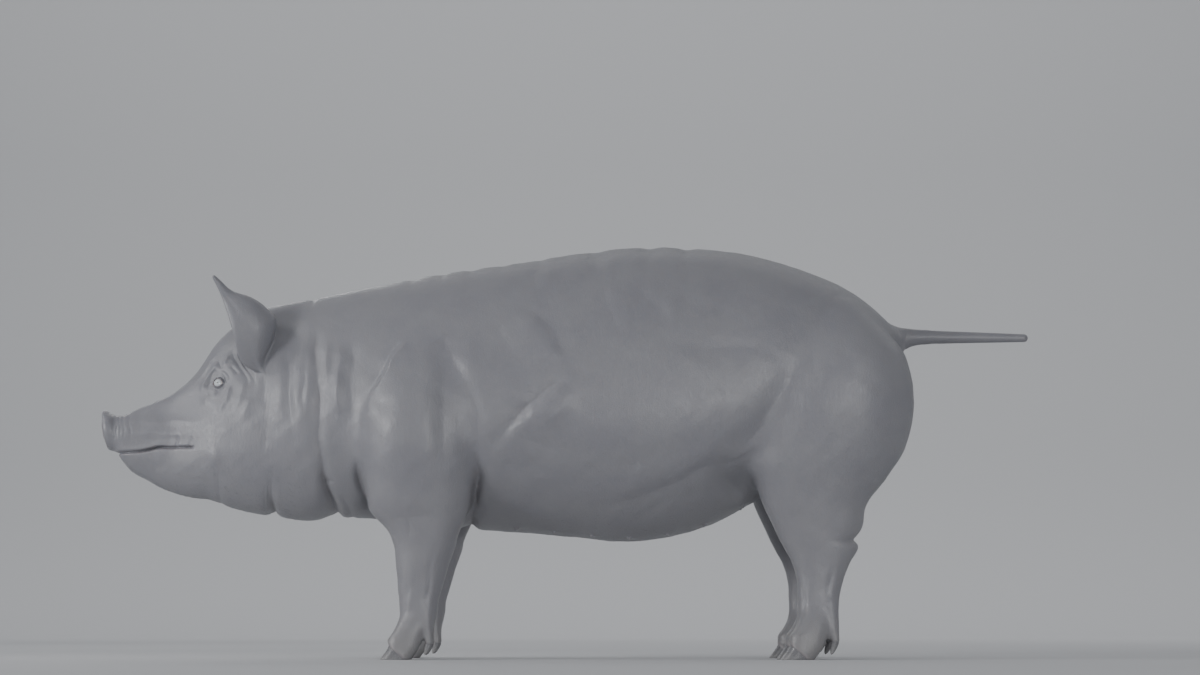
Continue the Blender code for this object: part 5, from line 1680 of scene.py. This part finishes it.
@dataclass(frozen=True)
class Bristles:
    """A sparse coat of stiff bristles, each a closed three-sided rod that tapers to a point.

    A bristle leaves its root at the growth's lift and bends down towards the lie of the coat.  Its
    middle line is root + length * (lie * (s cos + s squared (1 - cos) / 2) + outwards * (s sin)
    (1 - 0.6 s) + sideways * bend * s squared), with s from 0 at the root to 1 at the tip.
    """

    hide: bpy.types.Object
    lids: EyeLids
    seed: int = 417
    bare_above: float = 0.25
    sunk: float = 0.0008
    patch: float = 0.003
    stations: tuple[float, ...] = (0.0, 0.38, 0.74)
    taper: tuple[float, ...] = (1.0, 0.86, 0.56)
    growths: ClassVar[dict[str, Growth]] = {
        "back": Growth(11000, 0.008, 0.014, 0.00013, math.radians(7)),
        "flank": Growth(9500, 0.007, 0.012, 0.00013, math.radians(11)),
        "belly": Growth(7000, 0.007, 0.012, 0.00013, math.radians(14)),
        "face": Growth(26000, 0.003, 0.006, 0.00011, math.radians(15)),
        "chin": Growth(22000, 0.006, 0.012, 0.00013, math.radians(20)),
        "legs": Growth(15000, 0.006, 0.01, 0.00013, math.radians(14)),
        "ears": Growth(30000, 0.004, 0.008, 0.00011, math.radians(14)),
        "tail": Growth(15000, 0.006, 0.01, 0.00013, math.radians(12))}

    def build(self) -> list[bpy.types.Object]:
        """Every part's bristles, a piece for each side, and the lashes."""
        corners, area, normals, flush = self.triangles()
        middle = corners.mean(1)
        parts = self.part(middle)
        rng = np.random.default_rng(self.seed)
        made = []
        for name, growth in self.growths.items():
            for hand in Hand:
                here = (parts == name) & (np.sign(middle[:, 1]) == hand.value)
                here &= (flush.mean(1) < self.bare_above)
                weight = area * here * self.thickness(name, middle)
                count = int(growth.to_square_metre * weight.sum())
                chosen = rng.choice(len(weight), count, p=weight / weight.sum())
                share = rng.dirichlet((1.0, 1.0, 1.0), count)[..., None]
                roots = (corners[chosen] * share).sum(1)
                outwards = unit((normals[chosen] * share).sum(1))
                made.append(self.piece("bristles_%s_%s" % (name, hand.word), roots, outwards,
                                       self.lie(roots, name), growth.lengths(rng.random(count)),
                                       growth, rng))
        return made + [self.lashes(hand, rng) for hand in Hand]

    def triangles(self) -> tuple[Array, Array, Array, Array]:
        """Corners, areas, corner normals and corner flush of the hide's triangles."""
        mesh = self.hide.data
        mesh.calc_loop_triangles()
        points = read(mesh.loop_triangles, "vertices", np.int32, 3)
        normals = read(mesh.vertices, "normal", np.float32, 3)
        flush = read(mesh.attributes["flush"].data, "value", np.float32)
        corners = coordinates(mesh).astype(np.float64)[points]
        across = np.cross(corners[:, 1] - corners[:, 0], corners[:, 2] - corners[:, 0])
        return corners, np.linalg.norm(across, axis=1) / 2, normals[points], flush[points]

    @staticmethod
    def part(places: Array) -> Array:
        """The name of the part that each place is on."""
        x, y, z = places[:, 0], np.abs(places[:, 1]), places[:, 2]
        along, _, _ = EAR.local(x, y, z)
        sheet = EAR.sheet(x, y, z)[0]
        crest = curve(TRUNK.top, x) - z
        return np.select(
            [x > 0.735, (sheet < 0.01) & (along > 0.012), (x < -0.56) & (z < 0.4), x < -0.56,
             (z < 0.27) & ((x < -0.17) | (x > 0.4)) | (z < 0.2), crest < 0.035,
             z < curve(TRUNK.belly, x) + 0.1],
            ["tail", "ears", "chin", "face", "legs", "back", "belly"], "flank")

    @staticmethod
    def thickness(name: str, places: Array) -> Array:
        """How thick the coat stands against the part's mean: bare soles, snout and mouth."""
        x, y, z = places[:, 0], np.abs(places[:, 1]), places[:, 2]
        share = ramp(z, 0.03, 0.045) * ramp(x, -0.95, -0.925)
        share = share * ramp(SIDE_VIEW.lips.move(x, z), 0.0012, 0.0002)
        if name == "ears":
            _, angle, _, inside = EAR.sheet(x, y, z)
            share = share * (1 - 0.7 * inside) * (0.6 + 2.2 * bell(angle - EAR.wrap, 0.3))
        if name == "back":
            share = share * ramp(x, 0.6, 0.35)
        return share

    @staticmethod
    def lie(places: Array, name: str) -> Array:
        """The way the bristles point: back and down, down the legs, out along ears and tail."""
        x, side = places[:, 0], np.sign(places[:, 1])
        still, one = np.zeros_like(x), np.ones_like(x)
        if name == "ears":
            along, opening, _ = EAR.axes()
            rimward = along - 0.25 * opening
            return np.stack([rimward[0] * one, rimward[1] * side, rimward[2] * one], 1)
        down = {"legs": -2.6, "belly": -0.15, "tail": -0.1, "back": -0.05, "face": -0.25,
                "chin": -0.45}.get(name, -0.55)
        return np.stack([one, still, down + still], 1)

    def piece(self, name: str, roots: Array, outwards: Array, lie: Array, lengths: Array,
              growth: Growth, rng: np.random.Generator) -> bpy.types.Object:
        """One mesh of bristles, with the share along each kept as an attribute, and its patches."""
        count = len(roots)
        flat = unit(lie - outwards * (lie * outwards).sum(1, keepdims=True))
        across = np.cross(outwards, flat)
        turn = rng.normal(0, 0.22, (count, 1))
        flat = flat * np.cos(turn) + across * np.sin(turn)
        lift = growth.lift * (0.6 + 0.8 * rng.random((count, 1)))
        bend = rng.normal(0, 0.1, (count, 1))
        along = flat * np.cos(lift) + outwards * np.sin(lift)
        beside = unit(np.cross(along, outwards))
        above = np.cross(along, beside)
        stations = np.array([*self.stations, 1.0])[None, :, None]
        run = stations * np.cos(lift)[:, None] + stations ** 2 * (1 - np.cos(lift))[:, None] / 2
        rise = stations * np.sin(lift)[:, None] * (1 - 0.6 * stations)
        middle = (roots - outwards * self.sunk)[:, None] + lengths[:, None, None] * (
            flat[:, None] * run + outwards[:, None] * rise
            + beside[:, None] * bend[:, None] * stations ** 2)
        corner = (np.arange(3) * 2 * math.pi / 3)[:, None]
        radius = growth.radius * (0.8 + 0.4 * rng.random((count, 1, 1, 1)))
        ring = radius * np.array(self.taper)[None, :, None, None] * (
            np.cos(corner) * beside[:, None, None] + np.sin(corner) * above[:, None, None])
        rings = (middle[:, :3, None] + ring).reshape(count, 9, 3)
        points = np.concatenate([rings, middle[:, 3:]], 1)
        faces, spots = self.template()
        every = np.where(faces >= 0, faces + 10 * np.arange(count)[:, None, None], -1)
        made = add_mesh(name, points.reshape(-1, 3), every.reshape(-1, 4))
        share = np.tile(np.append(np.repeat(self.stations, 3), 1.0), count)
        set_attribute(made.data, "along", share)
        patches = self.unwrap(roots, name)[:, None] + spots[None] * self.patch
        layer = made.data.uv_layers.new(name="OFBake")
        layer.data.foreach_set("uv", patches.astype(np.float32).ravel())
        finish_piece(made, BristleFinish(), "bristle")
        return made

    def template(self) -> tuple[Array, Array]:
        """Faces of one bristle, and where each face corner lies in a patch of side 1."""
        faces, spots = [(0, 2, 1, -1)], [(0.0, 0.0), (0.5, 0.0), (1.0, 0.0)]
        heights = [*self.stations, 1.0]
        for row in range(2):
            for k in range(3):
                after, low, high = (k + 1) % 3, heights[row], heights[row + 1]
                faces.append((3 * row + k, 3 * row + after, 3 * row + 3 + after, 3 * row + 3 + k))
                spots += [(k / 3, low), ((k + 1) / 3, low), ((k + 1) / 3, high), (k / 3, high)]
        for k in range(3):
            faces.append((6 + k, 6 + (k + 1) % 3, 9, -1))
            spots += [(k / 3, heights[2]), ((k + 1) / 3, heights[2]), ((k + 0.5) / 3, 1.0)]
        return np.array(faces), np.array(spots) - 0.5

    @staticmethod
    def unwrap(places: Array, name: str) -> Array:
        """Where a root lies on the flat pattern of the hide, both from 0 to 1.

        The trunk and head make an island for each side, by place along X and turn from crest to
        belly; each leg one by turn and height; each ear one by place along it and turn; and the
        tail one by place along X and turn.
        """
        x, y, z = places[:, 0], np.abs(places[:, 1]), places[:, 2]
        right = places[:, 1] > 0
        if "ears" in name:
            _, turn, along, inside = EAR.sheet(x, y, z)
            across = turn / math.pi * np.where(inside > 0.5, -0.5, 0.5) + 0.5
            return np.stack([0.02 + 0.32 * right + 0.27 * ramp(along, -0.05, 0.18),
                             0.03 + 0.14 * across], 1)
        if "tail" in name:
            turn = np.arctan2(places[:, 1], z - 0.672) / math.pi
            return np.stack([0.66 + 0.32 * (x - 0.72) / 0.26, 0.1 + 0.07 * turn], 1)
        if "legs" in name:
            hind = x > 0.1
            leg_x = np.where(hind, 0.53, -0.29)
            turn = np.arctan2(y - 0.14, x - leg_x) / math.pi
            return np.stack([0.13 + 0.5 * hind + 0.25 * right + 0.105 * turn, 0.21 + 0.17 * z / 0.3], 1)
        turn = np.arctan2(y, z - curve(TRUNK.widest_at, x)) / math.pi
        return np.stack([0.01 + 0.98 * (x + 1.0) / 1.8, 0.41 + 0.3 * right + 0.275 * turn], 1)

    def lashes(self, hand: Hand, rng: np.random.Generator) -> bpy.types.Object:
        """A row of long bristles along the upper lid, and a sparser row along the lower."""
        across, upward, out = self.lids.axes()
        rows = []
        for count, arch, lift in ((44, self.lids.upper, 1.0), (20, -self.lids.lower, -1.0)):
            u = np.linspace(-0.86, 0.9, count) * self.lids.half_width + rng.normal(0, 0.0002, count)
            v = arch * (1 - np.abs(u / self.lids.half_width) ** 2.2) + lift * 0.0007
            n = np.sqrt((self.lids.radius + self.lids.cover * 0.7) ** 2 - u ** 2 - v ** 2)
            rows.append(np.stack([u - self.lids.ahead, v, n, lift + 0 * u], 1))
        u, v, n, lift = np.concatenate(rows).T[..., None]
        mirror = np.array([1.0, hand.value, 1.0])
        roots = (np.array(self.lids.centre) + u * across + v * upward + n * out) * mirror
        outwards = unit((0.55 * out + 0.5 * lift * upward + u * 30 * across)) * mirror
        growth = Growth(0, 0.006, 0.01, 0.00013, math.radians(62))
        lie = (upward * lift + 0.35 * across) * mirror
        return self.piece("bristles_lashes_" + hand.word, roots, outwards, lie,
                          growth.lengths(rng.random(len(u))) * np.where(lift[:, 0] > 0, 1.0, 0.55),
                          growth, rng)


# -------- the place
@dataclass(frozen=True)
class SeamlessPaper(Finish):
    """Pale matt studio paper with the faintest tooth."""

    name: ClassVar[str] = "studio_paper_pale_grey"
    # painted light: the floor's tone is paler than the wall's to even out how the lamps light them
    floor_painted_light: str = "#cfd0d2"
    wall: str = "#c6c7c9"
    tooth_mm: float = 1.5

    def dress(self, nodes: Nodes) -> None:
        """Painted paler underfoot than where it stands, to even out how the lamps light floor and wall,
        with a tooth of about a millimetre.
        """
        place = nodes.place()
        _, _, height = nodes.axes(place)
        nodes.feed({"Base Color": nodes.paint(self.floor_painted_light, (self.wall, height, 0.0, 1.2, 1.0)),
                    "Roughness": 0.85})
        nodes.relief((nodes.noise(place, per_metre(self.tooth_mm)), 0.08, 0.2))


@dataclass(frozen=True)
class Studio:
    """Floor and backdrop in one sweep, soft lamps, and the camera."""

    lens: float = 85.0
    eye: Point = (0.0735, -5.943, 0.0765)
    pitch: float = math.radians(5.73)
    floor_half: float = 16.0
    wall_at: float = 12.0
    wall_height: float = 9.0
    sweep: float = 3.0
    ambient: str = "#c9cbcf"
    ambient_strength: float = 0.55

    def build(self) -> None:
        """Everything round the animal."""
        self.paper()
        self.camera()
        self.lamp("lamp_key", (-5.8, -3.6, 1.7), (-0.1, 0.0, 0.45), (1.8, 1.6), 184.0)
        self.lamp("lamp_front", (-4.0, -0.5, 3.0), (-0.78, 0.0, 0.52), (0.9, 1.2), 2.0, 40.0)
        self.lamp("lamp_fill", (2.0, -6.0, 0.9), (0.2, 0.0, 0.45), (3.0, 1.6), 22.5, 80.0)
        self.lamp("lamp_rim", (-1.6, 3.4, 2.4), (-0.1, 0.0, 0.8), (1.6, 0.5), 10.0)
        self.lamp("lamp_paper", (0.0, 7.5, 6.5), (0.0, 12.0, 1.5), (12.0, 2.0), 188.0)
        self.lamp("lamp_floor", (4.4, 5.0, 6.0), (4.4, 4.5, 0.0), (14.0, 4.0), 98.0)
        world = bpy.data.worlds.new("studio")
        bpy.context.scene.world = world
        world.use_nodes = True
        shade = world.node_tree.nodes["Background"]
        shade.inputs["Color"].default_value = linear(self.ambient)
        shade.inputs["Strength"].default_value = self.ambient_strength

    def paper(self) -> None:
        """A sheet whose section runs level, turns up through a quarter circle, and stands."""
        turn = np.linspace(0, math.pi / 2, 25)
        y = np.concatenate([[-self.floor_half], self.wall_at - self.sweep + self.sweep * np.sin(turn),
                            [self.wall_at]])
        z = np.concatenate([[0.0], self.sweep * (1 - np.cos(turn)), [self.wall_height]])
        points = np.concatenate([np.stack([np.full_like(y, side * self.floor_half), y, z], 1)
                                 for side in (-1, 1)])
        k, n = np.arange(len(y) - 1), len(y)
        made = add_mesh("backdrop", points, np.stack([k, n + k, n + k + 1, k + 1], 1))
        SeamlessPaper().coat(made)

    def camera(self) -> None:
        """A long lens low at the animal's left side, looking a little up."""
        data = bpy.data.cameras.new("camera")
        data.lens, data.sensor_width = self.lens, 36.0
        camera = bpy.data.objects.new("camera", data)
        camera.location = self.eye
        camera.rotation_euler = (math.pi / 2 + self.pitch, 0.0, 0.0)
        bpy.context.collection.objects.link(camera)
        bpy.context.scene.camera = camera

    @staticmethod
    def lamp(name: str, place: Point, target: Point, size: tuple[float, float], power: float,
             spread: float = 180.0) -> None:
        """A soft box of light turned towards a point, with slats that keep it within a spread."""
        data = bpy.data.lights.new(name, "AREA")
        data.shape, data.size, data.size_y, data.energy = "RECTANGLE", size[0], size[1], power
        data.spread = math.radians(spread)
        lamp = bpy.data.objects.new(name, data)
        lamp.visible_camera = False
        lamp.location = place
        away = lamp.location - type(lamp.location)(target)
        lamp.rotation_euler = away.to_track_quat("Z", "Y").to_euler()
        bpy.context.collection.objects.link(lamp)


def main() -> None:
    """Build the animal and the studio, and report each piece."""
    logging.basicConfig(level=logging.INFO, format="%(relativeCreated)6d ms  %(message)s")
    low, high = (np.array(corner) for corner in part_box("eye_right"))
    lids = EyeLids(centre=tuple((low + high) / 2), radius=float((high - low).max() / 2))
    features = (SNOUT, lids, EAR, TAIL, Teats(TRUNK), *FEET.values())
    flesh = Flesh(features, flesh_lattice())
    hide = Skin(flesh).build()
    Bristles(hide, lids).build()
    for hand in Hand:
        Eyeball(hand).build()
        for end in FEET:
            Hooves(flesh, end, hand).build()
    Studio().build()


if __name__ == "__main__":
    main()
